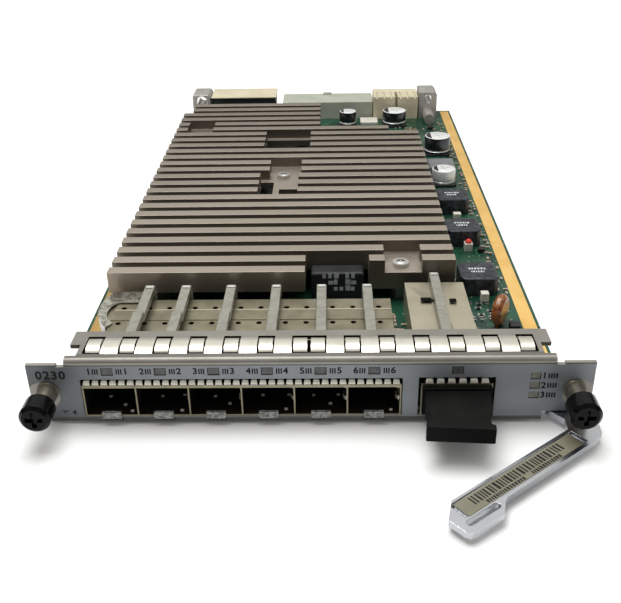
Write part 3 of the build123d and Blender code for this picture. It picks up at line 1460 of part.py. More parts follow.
# Small pale and dark parts soldered round the edge of the board: (x0, x1, y0, y1, height)
PALE_PARTS = [
    (55.9, 58.9, 101.7, 104.7, 3.1),
    (22.4, 31.6, 258.8, 267.8, 1.4),
    (55.7, 58.7, 132.2, 134.8, 2.2),
    (56.0, 58.6, 62.4, 65.0, 3.2),
    (50.9, 53.7, 30.0, 34.0, 1.6),
]
DARK_PARTS = [
    (60.8, 63.4, 100.4, 102.6, 1.6),
    (62.4, 65.6, 43.6, 47.0, 1.8),
    (57.0, 60.0, 249.4, 253.0, 1.4),
    (27.4, 28.6, 14.0, 26.0, 0.8),
    (55.0, 58.0, 84.6, 88.0, 1.2),
]
group(
    [box_between(x0, x1, y0, y1, BOARD_TOP, BOARD_TOP + h) for x0, x1, y0, y1, h in PALE_PARTS],
    "small_pale_parts",
)
group(
    [box_between(x0, x1, y0, y1, BOARD_TOP, BOARD_TOP + h) for x0, x1, y0, y1, h in DARK_PARTS],
    "small_dark_parts",
)
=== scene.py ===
# %% [markdown]
# # A plug-in processing board, dressed for its photograph
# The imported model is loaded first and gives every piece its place, in metres: X runs along the
# front panel, Y runs back along the board and Z is up. Nothing below moves it. Pieces whose solids
# are right keep them and get a better finish, with edges softened on a merged copy. Small things that
# repeat, such as contacts and soldered parts, are set out by Geometry Nodes. Sizes are given in
# millimetres and turned into metres where a mesh, a node or a modifier takes them.

# %% Load the frame
import json
import math
import random

import bmesh
import bpy
import numpy as np
from mathutils import Matrix, Vector


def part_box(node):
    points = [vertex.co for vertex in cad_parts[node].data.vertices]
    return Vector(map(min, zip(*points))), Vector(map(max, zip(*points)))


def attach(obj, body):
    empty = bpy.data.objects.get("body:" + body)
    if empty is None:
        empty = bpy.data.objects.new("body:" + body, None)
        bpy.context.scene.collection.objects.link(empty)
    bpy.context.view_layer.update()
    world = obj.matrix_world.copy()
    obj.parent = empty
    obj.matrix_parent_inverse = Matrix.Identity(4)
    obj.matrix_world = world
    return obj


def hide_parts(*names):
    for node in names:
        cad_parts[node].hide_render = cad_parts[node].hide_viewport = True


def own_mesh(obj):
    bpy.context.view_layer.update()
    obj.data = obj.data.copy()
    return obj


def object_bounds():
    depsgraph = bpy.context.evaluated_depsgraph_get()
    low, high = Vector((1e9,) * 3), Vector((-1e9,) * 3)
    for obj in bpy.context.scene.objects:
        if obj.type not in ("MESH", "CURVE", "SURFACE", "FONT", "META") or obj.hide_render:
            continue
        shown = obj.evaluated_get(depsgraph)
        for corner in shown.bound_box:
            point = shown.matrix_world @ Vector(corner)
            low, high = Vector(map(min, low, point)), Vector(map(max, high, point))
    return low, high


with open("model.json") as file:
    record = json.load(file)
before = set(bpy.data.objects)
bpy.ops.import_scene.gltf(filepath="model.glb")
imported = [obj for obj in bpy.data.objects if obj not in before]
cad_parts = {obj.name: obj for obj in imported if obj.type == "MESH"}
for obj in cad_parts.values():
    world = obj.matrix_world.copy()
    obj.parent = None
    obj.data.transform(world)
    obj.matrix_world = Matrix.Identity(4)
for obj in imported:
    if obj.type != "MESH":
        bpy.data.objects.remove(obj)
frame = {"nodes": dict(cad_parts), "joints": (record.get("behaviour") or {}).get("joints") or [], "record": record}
cad_box = [list(map(float, corner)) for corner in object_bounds()]
MM = 0.001
nodes = frame["nodes"]
scene = bpy.context.scene

# %% [markdown]
# A few measures are taken from the solids once, so that what is added below keeps to them.


# %% Measures taken from the frame
def box_mm(node):
    """The low and high corners of a node's box, in mm."""
    return [np.array(corner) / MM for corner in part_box(node)]


def joint_named(name):
    """The frame's joint of that name."""
    return next(joint for joint in frame["joints"] if joint["name"] == name)


record = frame["record"]
body_of = {node: body for body, held in record["behaviour"]["bodies"].items() for node in held}
SIDES = ("left", "right")
PIPES = range(1, 8)
PORTS = 6
PORT_PITCH = 14.25
CAGE_WALL = 0.2
WIDE_PORT_X = 39.4
cage_low, cage_high = box_mm("port_cage")
wide_cage_low, wide_cage_high = box_mm("wide_port_cage")
finger_low, finger_high = box_mm("port_spring_fingers")
wide_finger_low, wide_finger_high = box_mm("wide_port_spring_fingers")
UNDER, TOP = (corner[2] for corner in box_mm("circuit_board"))
FLANGE_TOP = box_mm("front_panel")[1][2]
SCREW_X = abs(joint_named("screw_left_turn")["pos_m"][0]) / MM
port_middles = [cage_low[0] + CAGE_WALL + PORT_PITCH * (port + 0.5) for port in range(PORTS)]
print("ports at x", [round(float(x), 1) for x in port_middles], "mm")

# %% [markdown]
# ## Finishes
# Most surfaces here are coated metal, bare plated metal or moulded plastic. Each has a base colour that
# wanders a little, a fine grain that breaks up its gloss, and a slight bump. One function builds that
# common chain from object coordinates, so the grain keeps its real size in millimetres, and the
# special finishes add to what it returns.


# %% Nodes by the handful
def fill(tree, made, inputs):
    """Fills a node's inputs, each from a plain value or from another node's output."""
    for key, value in inputs.items():
        if isinstance(value, bpy.types.NodeSocket):
            tree.links.new(value, made.inputs[key])
        else:
            made.inputs[key].default_value = value


def add_node(tree, kind, inputs=None, **settings):
    """Adds a node, makes its settings and fills its inputs."""
    made = tree.nodes.new(kind)
    for name, value in settings.items():
        setattr(made, name, value)
    fill(tree, made, inputs or {})
    return made


def noise(tree, place, scale, detail):
    """A noise value at the given place."""
    inputs = {"Vector": place, "Scale": scale, "Detail": detail}
    return add_node(tree, "ShaderNodeTexNoise", inputs).outputs["Fac"]


def levels(tree, value, low, high, to_low, to_high):
    """Stretches a value between two limits."""
    inputs = {"Value": value, "From Min": low, "From Max": high, "To Min": to_low, "To Max": to_high}
    return add_node(tree, "ShaderNodeMapRange", inputs).outputs["Result"]


def math_node(tree, operation, *values):
    """A sum, product or comparison of links or plain numbers."""
    return add_node(tree, "ShaderNodeMath", dict(enumerate(values)), operation=operation).outputs[0]


def mixed(tree, factor, first, second):
    """A colour between two."""
    inputs = {"Factor": factor, "A": first, "B": second}
    return add_node(tree, "ShaderNodeMix", inputs, data_type="RGBA").outputs["Result"]


def object_place(tree):
    """Where a point lies on its object."""
    return add_node(tree, "ShaderNodeTexCoord").outputs["Object"]


def axes_of(tree, vector):
    """A vector's X, Y and Z."""
    return add_node(tree, "ShaderNodeSeparateXYZ", {"Vector": vector}).outputs


def shader_of(material):
    """The material's Principled shader."""
    return material.node_tree.nodes["Principled BSDF"]


def colour_of(material):
    """What feeds the material's base colour now."""
    return shader_of(material).inputs["Base Color"].links[0].from_socket


# %% A surface with mottling, grain and bump
PER_METRE = 1000
BUMP_STRENGTH = 0.35
GLOSS_SPREAD = 0.18


def finish(name, colour, second, roughness, metallic, patch, grain,
           bump=0.02, shine=0.5, stretch=(1, 1, 1)):
    """A material whose colour wanders between two tones over patch mm, with a fine grain of grain mm."""
    material = bpy.data.materials.new(name)
    material.use_nodes = True
    tree = material.node_tree
    scaled = add_node(tree, "ShaderNodeMapping", {"Vector": object_place(tree), "Scale": stretch})
    place = scaled.outputs["Vector"]
    mottle = levels(tree, noise(tree, place, PER_METRE / patch, 3.0), 0.35, 0.65, 0.0, 1.0)
    fine = noise(tree, place, PER_METRE / grain, 2.0)
    relief = {"Strength": BUMP_STRENGTH, "Distance": bump * MM, "Height": fine}
    duller = min(1.0, roughness * (1 + GLOSS_SPREAD))
    fill(tree, shader_of(material), {
        "Metallic": metallic,
        "Specular IOR Level": shine,
        "Base Color": mixed(tree, mottle, (*colour, 1), (*second, 1)),
        "Roughness": levels(tree, fine, 0.3, 0.7, roughness * (1 - GLOSS_SPREAD), duller),
        "Normal": add_node(tree, "ShaderNodeBump", relief).outputs["Normal"],
    })
    return material


# %% The plain finishes, roughly in the order they meet the eye from the front
# Each row: two tones, roughness, how metallic, patch and grain in mm, then bump in mm, shine and stretch.
look = {name: finish(name, *row) for name, row in {
    "panel_coat": ((0.245, 0.268, 0.290), (0.28, 0.303, 0.325), 0.42, 0.25, 18, 0.25, 0.006),
    "flange_coat": ((0.205, 0.195, 0.170), (0.245, 0.235, 0.210), 0.46, 0.5, 14, 0.3, 0.006),
    # The next finish is a painted black that stands for shade behind and between parts.
    "shade_black": ((0.004, 0.004, 0.004), (0.007, 0.007, 0.006), 0.85, 0.0, 3, 0.3, 0.02, 0.05),
    "wide_tin": ((0.38, 0.345, 0.255), (0.45, 0.41, 0.31), 0.38, 0.7, 9, 0.3, 0.004),
    # The next finish paints the shade inside the ports.
    "port_shade_dark": ((0.010, 0.009, 0.007), (0.018, 0.016, 0.013), 0.5, 0.3, 6, 0.3),
    "inductor_black": ((0.010, 0.011, 0.013), (0.050, 0.056, 0.068), 0.42, 0.0, 1.8, 0.3, 0.02, 0.3),
    # The next finish is a painted highlight on the light pipes' rear ends.
    "pipe_end_highlight": ((0.46, 0.455, 0.42), (0.54, 0.535, 0.50), 0.25, 0.0, 3, 0.5),
    "finger_white": ((0.74, 0.72, 0.63), (0.84, 0.82, 0.73), 0.38, 0.35, 3, 0.3, 0.002),
    "spring_metal": ((0.62, 0.60, 0.52), (0.70, 0.68, 0.60), 0.34, 0.75, 6, 0.4, 0.002),
    "shield_beige": ((0.24, 0.23, 0.19), (0.66, 0.64, 0.57), 0.26, 0.9, 1.8, 0.6, 0.004),
    "window_grey": ((0.075, 0.077, 0.077), (0.115, 0.118, 0.118), 0.30, 0.0, 2, 0.3),
    "cage_tin": ((0.22, 0.20, 0.135), (0.30, 0.275, 0.195), 0.36, 0.8, 5, 0.3, 0.004),
    # The next finish is a painted highlight on the strap's cut edges.
    "strap_highlight": ((0.74, 0.66, 0.48), (0.80, 0.72, 0.54), 0.30, 0.8, 4, 0.3),
    "pipe_grey": ((0.21, 0.205, 0.170), (0.27, 0.265, 0.225), 0.26, 0.0, 2.4, 3.0, 0.001),
    "knob_black": ((0.002, 0.002, 0.0025), (0.004, 0.004, 0.004), 0.14, 0.0, 5, 0.5, 0.002, 0.12),
    "plug_black": ((0.003, 0.003, 0.0028), (0.006, 0.006, 0.0055), 0.55, 0.0, 8, 0.4, 0.004, 0.08),
    "chip_black": ((0.014, 0.0145, 0.016), (0.024, 0.025, 0.027), 0.45, 0.0, 5, 0.3, 0.006, 0.3),
    "sink_brown": ((0.36, 0.315, 0.26), (0.42, 0.37, 0.31), 0.40, 0.75, 25, 0.4, 0.004, 0.5, (0.3, 1, 1)),
    "bright_steel": ((0.74, 0.73, 0.70), (0.82, 0.81, 0.78), 0.22, 1.0, 5, 0.3, 0.003),
    "ferrule_metal": ((0.20, 0.180, 0.14), (0.29, 0.265, 0.21), 0.36, 0.9, 5, 0.3, 0.004),
    "lever_zinc": ((0.50, 0.515, 0.545), (0.54, 0.555, 0.585), 0.20, 1.0, 30, 8.0, 0.0005),
    "die_cast": ((0.44, 0.43, 0.40), (0.54, 0.52, 0.49), 0.48, 0.8, 6, 0.3),
    "beige_plastic": ((0.56, 0.50, 0.35), (0.63, 0.57, 0.41), 0.45, 0.0, 9, 0.4),
    "pale_plastic": ((0.36, 0.375, 0.30), (0.42, 0.435, 0.36), 0.45, 0.0, 9, 0.4),
    "can_side": ((0.050, 0.054, 0.060), (0.085, 0.090, 0.096), 0.24, 0.9, 5, 0.25, 0.003),
    "can_metal": ((0.70, 0.71, 0.70), (0.80, 0.81, 0.80), 0.40, 0.35, 5, 0.25, 0.004),
    "module_grey": ((0.16, 0.165, 0.175), (0.22, 0.225, 0.235), 0.40, 0.3, 6, 0.3),
    "varistor_brown": ((0.11, 0.026, 0.008), (0.36, 0.13, 0.035), 0.22, 0.0, 1.6, 0.5),
    "bulb_red": ((0.60, 0.03, 0.02), (0.72, 0.06, 0.04), 0.15, 0.0, 2, 0.5),
    "pale_ceramic": ((0.62, 0.60, 0.52), (0.72, 0.70, 0.62), 0.40, 0.1, 2, 0.3),
    "tan_ceramic": ((0.36, 0.24, 0.14), (0.44, 0.31, 0.19), 0.45, 0.0, 1.2, 0.2),
    "pad_grey": ((0.30, 0.33, 0.36), (0.35, 0.38, 0.41), 0.80, 0.0, 3, 0.3),
    "gold_plate": ((0.84, 0.52, 0.15), (0.94, 0.62, 0.21), 0.36, 0.55, 12, 0.4, 0.003),
    "contact_gold": ((0.62, 0.42, 0.16), (0.74, 0.52, 0.22), 0.28, 1.0, 2, 0.2),
    "tab_grey": ((0.13, 0.135, 0.12), (0.44, 0.445, 0.41), 0.40, 0.3, 0.7, 0.3, 0.01),
    "solder": ((0.60, 0.60, 0.58), (0.72, 0.72, 0.70), 0.30, 1.0, 1.5, 0.2),
    "label_khaki": ((0.165, 0.156, 0.105), (0.205, 0.195, 0.135), 0.45, 0.0, 9, 0.3, 0.004),
    "print_grey": ((0.014, 0.014, 0.015), (0.026, 0.026, 0.027), 0.55, 0.0, 1.5, 0.15, 0.02, 0.1),
    "print_white": ((0.42, 0.44, 0.46), (0.60, 0.62, 0.64), 0.55, 0.0, 1.5, 0.15),
    "board_green": ((0.006, 0.032, 0.018), (0.009, 0.046, 0.026), 0.30, 0.0, 14, 0.5, 0.004, 0.35),
}.items()}
print("finishes", len(look))

# %% [markdown]
# The circuit board's finish is the busiest one. Solder mask is glossy dark green, and copper tracks under
# it show as slightly lighter lines that run along and across the board in bundles. A brick pattern laid
# both ways gives the lines, a cell pattern picks the patches where each runs, and small round cells
# become the plated vias.

# %% Tracks and vias under the solder mask
CELL_SIZE = 7.0
TRACK_STEP = 0.55
VIA_CELL = 2.2
COPPER_UNDER_MASK = (0.016, 0.080, 0.042, 1)
BARE_VIA = (0.30, 0.33, 0.28, 1)


def add_tracks(material):
    """Lays copper tracks and bright vias over a mask colour."""
    tree = material.node_tree
    place = next(made for made in tree.nodes if made.type == "MAPPING").outputs["Vector"]
    cell_inputs = {"Vector": place, "Scale": PER_METRE / CELL_SIZE}
    cells = add_node(tree, "ShaderNodeTexVoronoi", cell_inputs, distance="CHEBYCHEV")
    pick = add_node(tree, "ShaderNodeSeparateColor", {"Color": cells.outputs["Color"]})
    tracks = []
    for turn, channel in ((0.0, "Red"), (math.pi / 2, "Green")):
        turned = add_node(tree, "ShaderNodeMapping", {"Vector": place, "Rotation": (0, 0, turn)})
        bricks = add_node(tree, "ShaderNodeTexBrick", {
            "Vector": turned.outputs["Vector"], "Scale": PER_METRE, "Mortar Size": 0.16,
            "Brick Width": 16.0, "Row Height": TRACK_STEP})
        here = math_node(tree, "GREATER_THAN", pick.outputs[channel], 0.55)
        tracks.append(math_node(tree, "MULTIPLY", bricks.outputs["Fac"], here))
    vias = add_node(tree, "ShaderNodeTexVoronoi", {"Vector": place, "Scale": PER_METRE / VIA_CELL})
    via = levels(tree, vias.outputs["Distance"], 0.10, 0.14, 1.0, 0.0)
    tracked = mixed(tree, math_node(tree, "MAXIMUM", *tracks), colour_of(material), COPPER_UNDER_MASK)
    fill(tree, shader_of(material), {"Base Color": mixed(tree, via, tracked, BARE_VIA)})


add_tracks(look["board_green"])
print("board finish nodes", len(look["board_green"].node_tree.nodes))

# %% [markdown]
# Painted shade and painted highlight are laid into some colours: the gaps between the heatsink's fins are
# painted darker than their tops, its rear and the left ends of the panel and the edge strip are painted darker,
# and the flange has a painted highlight on its front edge with a band of painted shade behind it. A share that
# depends on the place scales the colour.


# %% Painted shade and painted highlight that change with their place
def scale_colour(material, share):
    """Multiplies the base colour by a share."""
    inputs = {0: colour_of(material), "Scale": share}
    scaled = add_node(material.node_tree, "ShaderNodeVectorMath", inputs, operation="SCALE")
    fill(material.node_tree, shader_of(material), {"Base Color": scaled.outputs["Vector"]})


def darker_sides(material, share, front_y):
    """Paints shade on the faces that stand upright behind front_y, between the fins."""
    tree = material.node_tree
    normal = add_node(tree, "ShaderNodeNewGeometry").outputs["True Normal"]
    front = math_node(tree, "LESS_THAN", axes_of(tree, object_place(tree))["Y"], front_y * MM)
    upright = levels(tree, axes_of(tree, normal)["Z"], 0.2, 0.7, share, 1.0)
    scale_colour(material, math_node(tree, "MAXIMUM", front, upright))


def shaded(material, axis, low, high, share_low, share_high):
    """Scales the base colour by a share that runs between two places in mm along an axis."""
    tree = material.node_tree
    along = axes_of(tree, object_place(tree))[axis]
    scale_colour(material, levels(tree, along, low * MM, high * MM, share_low, share_high))


# Painted shade in the fin gaps and towards the heatsink's rear, painted shade on the left ends of the panel and
# the edge strip, and on the flange a painted shade band behind a painted highlight at its front edge.
darker_sides(look["sink_brown"], 0.55, 56.0)
for name, *run in (
    ("sink_brown", "Y", 110.0, 250.0, 1.0, 0.76),
    ("flange_coat", "Y", 2.9, 3.2, 0.62, 1.0),
    ("flange_coat", "Y", 1.0, 1.4, 1.9, 1.0),
    ("panel_coat", "X", -76.0, -30.0, 0.56, 1.0),
    ("gold_plate", "X", -74.0, -58.0, 0.42, 1.0),
):
    shaded(look[name], *run)
    print(name, "is shaded along", run[0])

# %% [markdown]
# ## Pieces that keep their solid
# A stamped, cast or moulded edge is never a knife edge: it catches a thin line of light. The solids are
# exact but sharp, so each is copied, its loose triangles are merged into whole faces, and a Bevel
# modifier rounds what is left sharp. The copy then stands for the node on the node's own body.

# %% Copies with softened edges
WELD = 0.002
FLAT_ANGLE = math.radians(1.5)
AREA_LOSS = 0.0005
SHARP_ANGLE = math.radians(35)


def new_piece(name, mesh, body="board"):
    """Links a mesh as a piece that rides on a body."""
    piece = bpy.data.objects.new(name, mesh)
    scene.collection.objects.link(piece)
    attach(piece, body)
    return piece


def triangle_area(work):
    """The area of all faces as they are drawn, split into triangles."""
    corners = ([loop.vert.co for loop in loops] for loops in work.calc_loop_triangles())
    return sum((b - a).cross(c - a).length / 2 for a, b, c in corners)


def merged(source):
    """The mesh as a bmesh with its triangles merged into flat faces, unless that breaks a face with holes."""
    work = bmesh.new()
    work.from_mesh(source)
    bmesh.ops.remove_doubles(work, verts=work.verts, dist=WELD * MM)
    whole = work.copy()
    area = triangle_area(work)
    bmesh.ops.dissolve_limit(work, angle_limit=FLAT_ANGLE, verts=work.verts, edges=work.edges)
    if abs(triangle_area(work) - area) > area * AREA_LOSS:
        work.free()
        return whole, False
    whole.free()
    return work, True


def softened(node, coat, width):
    """A merged copy of the node with edges rounded by width mm, which stands for it."""
    mesh = nodes[node].data.copy()
    mesh.name = f"{node}_mesh"
    mesh.materials.clear()
    mesh.materials.append(look[coat])
    if "custom_normal" in mesh.attributes:
        mesh.attributes.remove(mesh.attributes["custom_normal"])
    work, flat = merged(mesh)
    if not flat:
        print("kept its triangles:", node)
    for face in work.faces:
        face.smooth = width > 0
        face.material_index = 0
    work.to_mesh(mesh)
    work.free()
    mesh.set_sharp_from_angle(angle=SHARP_ANGLE)
    piece = new_piece(f"{node}_finished", mesh, body_of[node])
    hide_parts(node)
    if width:
        edge = piece.modifiers.new("soft_edges", "BEVEL")
        edge.width = width * MM
        edge.segments = 2
        edge.limit_method = "ANGLE"
        edge.angle_limit = SHARP_ANGLE
        edge.harden_normals = True
    return piece


finished = {node: softened(node, coat, width) for node, (coat, width) in {
    "front_panel": ("flange_coat", 0.12),
    "heatsink": ("sink_brown", 0.16),
    "dust_plug": ("plug_black", 0.35),
    "ejector_lever": ("lever_zinc", 0.28),
    "lever_bracket": ("cage_tin", 0.15),
    "panel_angle": ("cage_tin", 0.15),
    "status_light_pipe": ("pipe_grey", 0.15),
    "large_chips": ("chip_black", 0.15),
    "memory_chips": ("chip_black", 0.12),
    "guide_bracket_left": ("die_cast", 0.3),
    "guide_bracket_right": ("die_cast", 0.3),
    "backplane_connector_left": ("chip_black", 0.15),
    "connector_cover": ("beige_plastic", 0.15),
    "backplane_connector_middle": ("pale_plastic", 0.2),
    "power_connector": ("beige_plastic", 0.3),
    "power_inductors": ("inductor_black", 0.3),
    "front_inductor": ("chip_black", 0.3),
    "converter_module": ("module_grey", 0.25),
    "capacitor_bases": ("chip_black", 0.15),
    "disc_varistor": ("varistor_brown", 0.4),
    "indicator_bulb": ("bulb_red", 0.2),
    "small_pale_parts": ("pale_ceramic", 0.15),
    "small_dark_parts": ("chip_black", 0.12),
    "port_connectors": ("chip_black", 0.1),
    "wide_port_connector": ("chip_black", 0.1),
    "ferrule_left": ("ferrule_metal", 0.12),
    "ferrule_right": ("ferrule_metal", 0.12),
    "thumb_knob_left": ("knob_black", 0.7),
    "thumb_knob_right": ("knob_black", 0.7),
    "heatsink_standoffs": ("die_cast", 0.1),
    "lever_pin": ("bright_steel", 0.1),
    "port_cage": ("cage_tin", 0),
    "wide_port_cage": ("wide_tin", 0),
    "cage_end_shield": ("shield_beige", 0.04),
    "thumb_screw_left": ("bright_steel", 0.08),
    "thumb_screw_right": ("bright_steel", 0.08),
    **{f"light_pipe_{number}": ("pipe_grey", 0.18) for number in PIPES},
}.items()}
print("softened", len(finished))

# %% [markdown]
# Some nodes stay as they are, since they are flat sheets or small turned parts whose rounds are too fine to
# show at this size. Only their finish is set. The springs, the gaskets, the fingers and the capacitors'
# cans get a copy of their own further on.

# %% Finishes set on the nodes themselves
plain_nodes = {
    "circuit_board": "board_green",
    "edge_strips": "gold_plate",
    "port_lamps": "pale_ceramic",
    "heatsink_screws": "bright_steel",
    "board_screws": "bright_steel",
    "thermal_pads": "pad_grey",
    "lever_label": "label_khaki",
    **{f"thrust_washer_{side}": "bright_steel" for side in SIDES},
}
for node, coat in plain_nodes.items():
    for holder in nodes[node].material_slots:
        holder.material = look[coat]
print("nodes with their own shape", len(plain_nodes))

# %% [markdown]
# Behind each thumbscrew's knob a spring is pressed together as the screw is pushed in. Here its copy only
# gets a mesh of its own; the washer's box is read but nothing uses it.

# %% Springs behind the knobs
for side in SIDES:
    coil = softened(f"spring_{side}", "bright_steel", 0)
    washer_low, washer_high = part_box(f"thrust_washer_{side}")
    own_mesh(coil)

# %% [markdown]
# The panel is bare plated steel with a blue-grey film over its front face. The film's faces are the ones
# that look forwards at the very front, so they take a second material on the same piece. The film is left
# out in a round window at each thumbscrew. Along the fold the bare metal's colour is laid on as a painted
# highlight, with a painted shadow line just under it, and painted shade darkens the lower edge.

# %% The film on the panel's face
BARE_METAL_AND_HIGHLIGHT = (0.40, 0.375, 0.33)
EDGE_SHADE = (0.115, 0.115, 0.105)
WINDOW_SHIFT = 1.4
WINDOW_Z = 8.4
WINDOW_RADIUS = 4.4
LOWER_SHADE_Z = 1.25
SHADOW_LINE_Z = 17.8
FOLD_HIGHLIGHT_Z = 18.2


def second_finish(node, coat, wanted):
    """Gives the faces that wanted(centre in mm, normal) picks a second finish."""
    mesh = finished[node].data
    mesh.materials.append(look[coat])
    picked = [face for face in mesh.polygons if wanted(face.center / MM, face.normal)]
    for face in picked:
        face.material_index = len(mesh.materials) - 1
    print(node, "faces picked", len(picked))


def bare_windows(material):
    """Leaves the metal bare round the thumbscrews, paints a highlight in bare metal's colour on the fold, and
    paints shade on the lower edge and as a line under the fold.
    """
    tree = material.node_tree
    place = axes_of(tree, object_place(tree))
    aside = math_node(tree, "ABSOLUTE", place["X"])
    across = math_node(tree, "SUBTRACT", aside, (SCREW_X + WINDOW_SHIFT) * MM)
    up = math_node(tree, "SUBTRACT", place["Z"], WINDOW_Z * MM)
    squares = (math_node(tree, "MULTIPLY", reach, reach) for reach in (across, up))
    window = math_node(tree, "LESS_THAN", math_node(tree, "ADD", *squares), (WINDOW_RADIUS * MM) ** 2)
    film = mixed(tree, window, colour_of(material), (*BARE_METAL_AND_HIGHLIGHT, 1))
    # Painted shade along the lower edge and as a line under the fold, and a painted highlight in the bare metal's
    # colour on the fold.
    for side, z, tone in (("LESS_THAN", LOWER_SHADE_Z, EDGE_SHADE), ("GREATER_THAN", SHADOW_LINE_Z, EDGE_SHADE),
                          ("GREATER_THAN", FOLD_HIGHLIGHT_Z, BARE_METAL_AND_HIGHLIGHT)):
        film = mixed(tree, math_node(tree, side, place["Z"], z * MM), film, (*tone, 1))
    fill(tree, shader_of(material), {"Base Color": film})


bare_windows(look["panel_coat"])
second_finish("front_panel", "panel_coat", lambda centre, normal: normal.y < -0.9 and centre.y < 0.05)

# %% [markdown]
# Other pieces carry a second finish too. The light pipes' ends are darker where they fill the panel's
# windows, the strap across the cages has a painted highlight on its cut edges, painted shade darkens the
# ports inside and the walls of the flange's slits, the thumbscrews' fronts are black like their knobs, and
# the guide bores' walls carry a painted highlight in bright steel.

# %% Pipe ends, painted strap highlight, painted port and slit shade, screw fronts and painted bore highlight
STRAP_DEPTH = 0.3
BORE_Z = 12.4
BORE_REACH = 2.95
for number in PIPES:
    second_finish(f"light_pipe_{number}", "window_grey", lambda centre, normal:
                  normal.y < -0.9 and centre.y < 1.0)
# A painted highlight on the strap's cut edges.
second_finish("port_cage", "strap_highlight", lambda centre, normal:
              abs(normal.y) > 0.9 and centre.z > cage_high[2] - STRAP_DEPTH and 30 < centre.y < 45)
# Painted shade inside the ports.
for node in ("port_cage", "wide_port_cage"):
    low, high = box_mm(node)
    second_finish(node, "port_shade_dark", lambda centre, normal:
                  centre.y > 1.0 and centre.z < low[2] + 9.3
                  and all(low[axis] + 0.1 < centre[axis] < high[axis] - 0.75 for axis in (0, 2)))
# Painted black shade on the walls of the flange's slits.
second_finish("front_panel", "shade_black", lambda centre, normal:
              abs(normal.z) < 0.5 and centre.z > 18.3 and 3.0 < centre.y < 12.2 and abs(centre.x) < 62)
second_finish("small_pale_parts", "tan_ceramic", lambda centre, normal:
              normal.y < -0.5 and centre.y < 60)
for side in SIDES:
    second_finish(f"thumb_screw_{side}", "knob_black", lambda centre, normal: centre.y < -8.0)
    low, high = box_mm(f"guide_bracket_{side}")
    bore_x = (low[0] + high[0]) / 2
    # The bores' walls are painted bright steel, a painted highlight for the white that shows through them.
    second_finish(f"guide_bracket_{side}", "bright_steel", lambda centre, normal:
                  abs(normal.y) < 0.5 and math.hypot(centre.x - bore_x, centre.z - BORE_Z) < BORE_REACH)

# %% [markdown]
# ## Print
# The panel carries small dark marks beside each lamp window and under each port. This copy has plain
# numbers and bars: the port's number on both sides of its lamp, a plain number at the left end and short
# bars elsewhere. Each mark is a very thin slab, so it also shows on the exported model.

# %% Meshes made from slabs, from rings and from other objects
MESH_SHARP_ANGLE = math.radians(40)


def slab(work, low, high, turn=None):
    """A thin box from corner to corner, in mm, in a bmesh, turned by an optional matrix."""
    middle = [(a + b) / 2 * MM for a, b in zip(low, high)]
    size = [(b - a) * MM for a, b in zip(low, high)]
    place = Matrix.Translation(middle) @ Matrix.Diagonal((*size, 1))
    made = bmesh.ops.create_cube(work, size=1.0, matrix=place)
    if turn:
        bmesh.ops.transform(work, matrix=turn, verts=made["verts"])


def finish_mesh(work, name, *coats):
    """Ends a bmesh as a named mesh with its finishes."""
    bmesh.ops.recalc_face_normals(work, faces=work.faces)
    mesh = bpy.data.meshes.new(name)
    work.to_mesh(mesh)
    work.free()
    mesh.set_sharp_from_angle(angle=MESH_SHARP_ANGLE)
    for coat in coats:
        mesh.materials.append(look[coat])
    return mesh


def frozen(holder):
    """The plain mesh that a text or a tree makes on a holder, which is then removed."""
    scene.collection.objects.link(holder)
    bpy.context.view_layer.update()
    mesh = bpy.data.meshes.new_from_object(holder.evaluated_get(bpy.context.evaluated_depsgraph_get()))
    holder.modifiers.clear()
    bpy.data.objects.remove(holder)
    return mesh


def slabs(name, boxes, *coats):
    """A mesh of thin boxes, each given by two corners in mm."""
    work = bmesh.new()
    for low, high in boxes:
        slab(work, low, high)
    return finish_mesh(work, name, *coats)


def lofted(name, rings, smooth=(), coats=()):
    """A closed mesh through rings of points in mm; the sides numbered in smooth are shaded smooth."""
    work = bmesh.new()
    rings = [[work.verts.new([c * MM for c in point]) for point in ring] for ring in rings]
    count = len(rings[0])
    for near, far in zip(rings, rings[1:]):
        for side in range(count):
            after = (side + 1) % count
            work.faces.new((near[side], near[after], far[after], far[side])).smooth = side in smooth
    work.faces.new(rings[0][::-1])
    work.faces.new(rings[-1])
    return finish_mesh(work, name, *coats)


def strip(name, points, width, thick, smooth=()):
    """A strip bent along (y, z) points, in mm, with its middle at x = 0."""
    corners = ((-width / 2, 0), (width / 2, 0), (width / 2, thick), (-width / 2, thick))
    return lofted(name, [[(x, y, z + rise) for x, rise in corners] for y, z in points], smooth)


def lathe(name, profile, sides):
    """A mesh turned about Z from (radius, z) points in mm, closed at both ends."""
    turns = [2 * math.pi * side / sides for side in range(sides)]
    unit = [(math.cos(turn), math.sin(turn)) for turn in turns]
    rings = [[(radius * x, radius * y, z) for x, y in unit] for radius, z in profile]
    return lofted(name, rings, smooth=range(sides))


# %% Numbers and bars on the panel
UPRIGHT = Matrix.Rotation(math.radians(90), 4, "X")
NUMBER_HEIGHT = 1.9
NUMBER_Z = 16.05
BAR_STEP = 0.62
print_mesh = bmesh.new()


def number_mesh(text, height):
    """A flat number of the given height in mm, as a thin mesh with its middle at the origin."""
    curve = bpy.data.curves.new("number", "FONT")
    curve.body = text
    curve.size = height * 1.4 * MM
    curve.align_x = "CENTER"
    curve.align_y = "CENTER"
    curve.extrude = 0.012 * MM
    curve.offset = 0.045 * height * MM
    return frozen(bpy.data.objects.new("number", curve))


def face_number(text, x, z, height=NUMBER_HEIGHT):
    """A number on the panel's face, in mm."""
    mesh = number_mesh(text, height)
    mesh.transform(Matrix.Translation((x * MM, 0, z * MM)) @ UPRIGHT)
    print_mesh.from_mesh(mesh)
    bpy.data.meshes.remove(mesh)


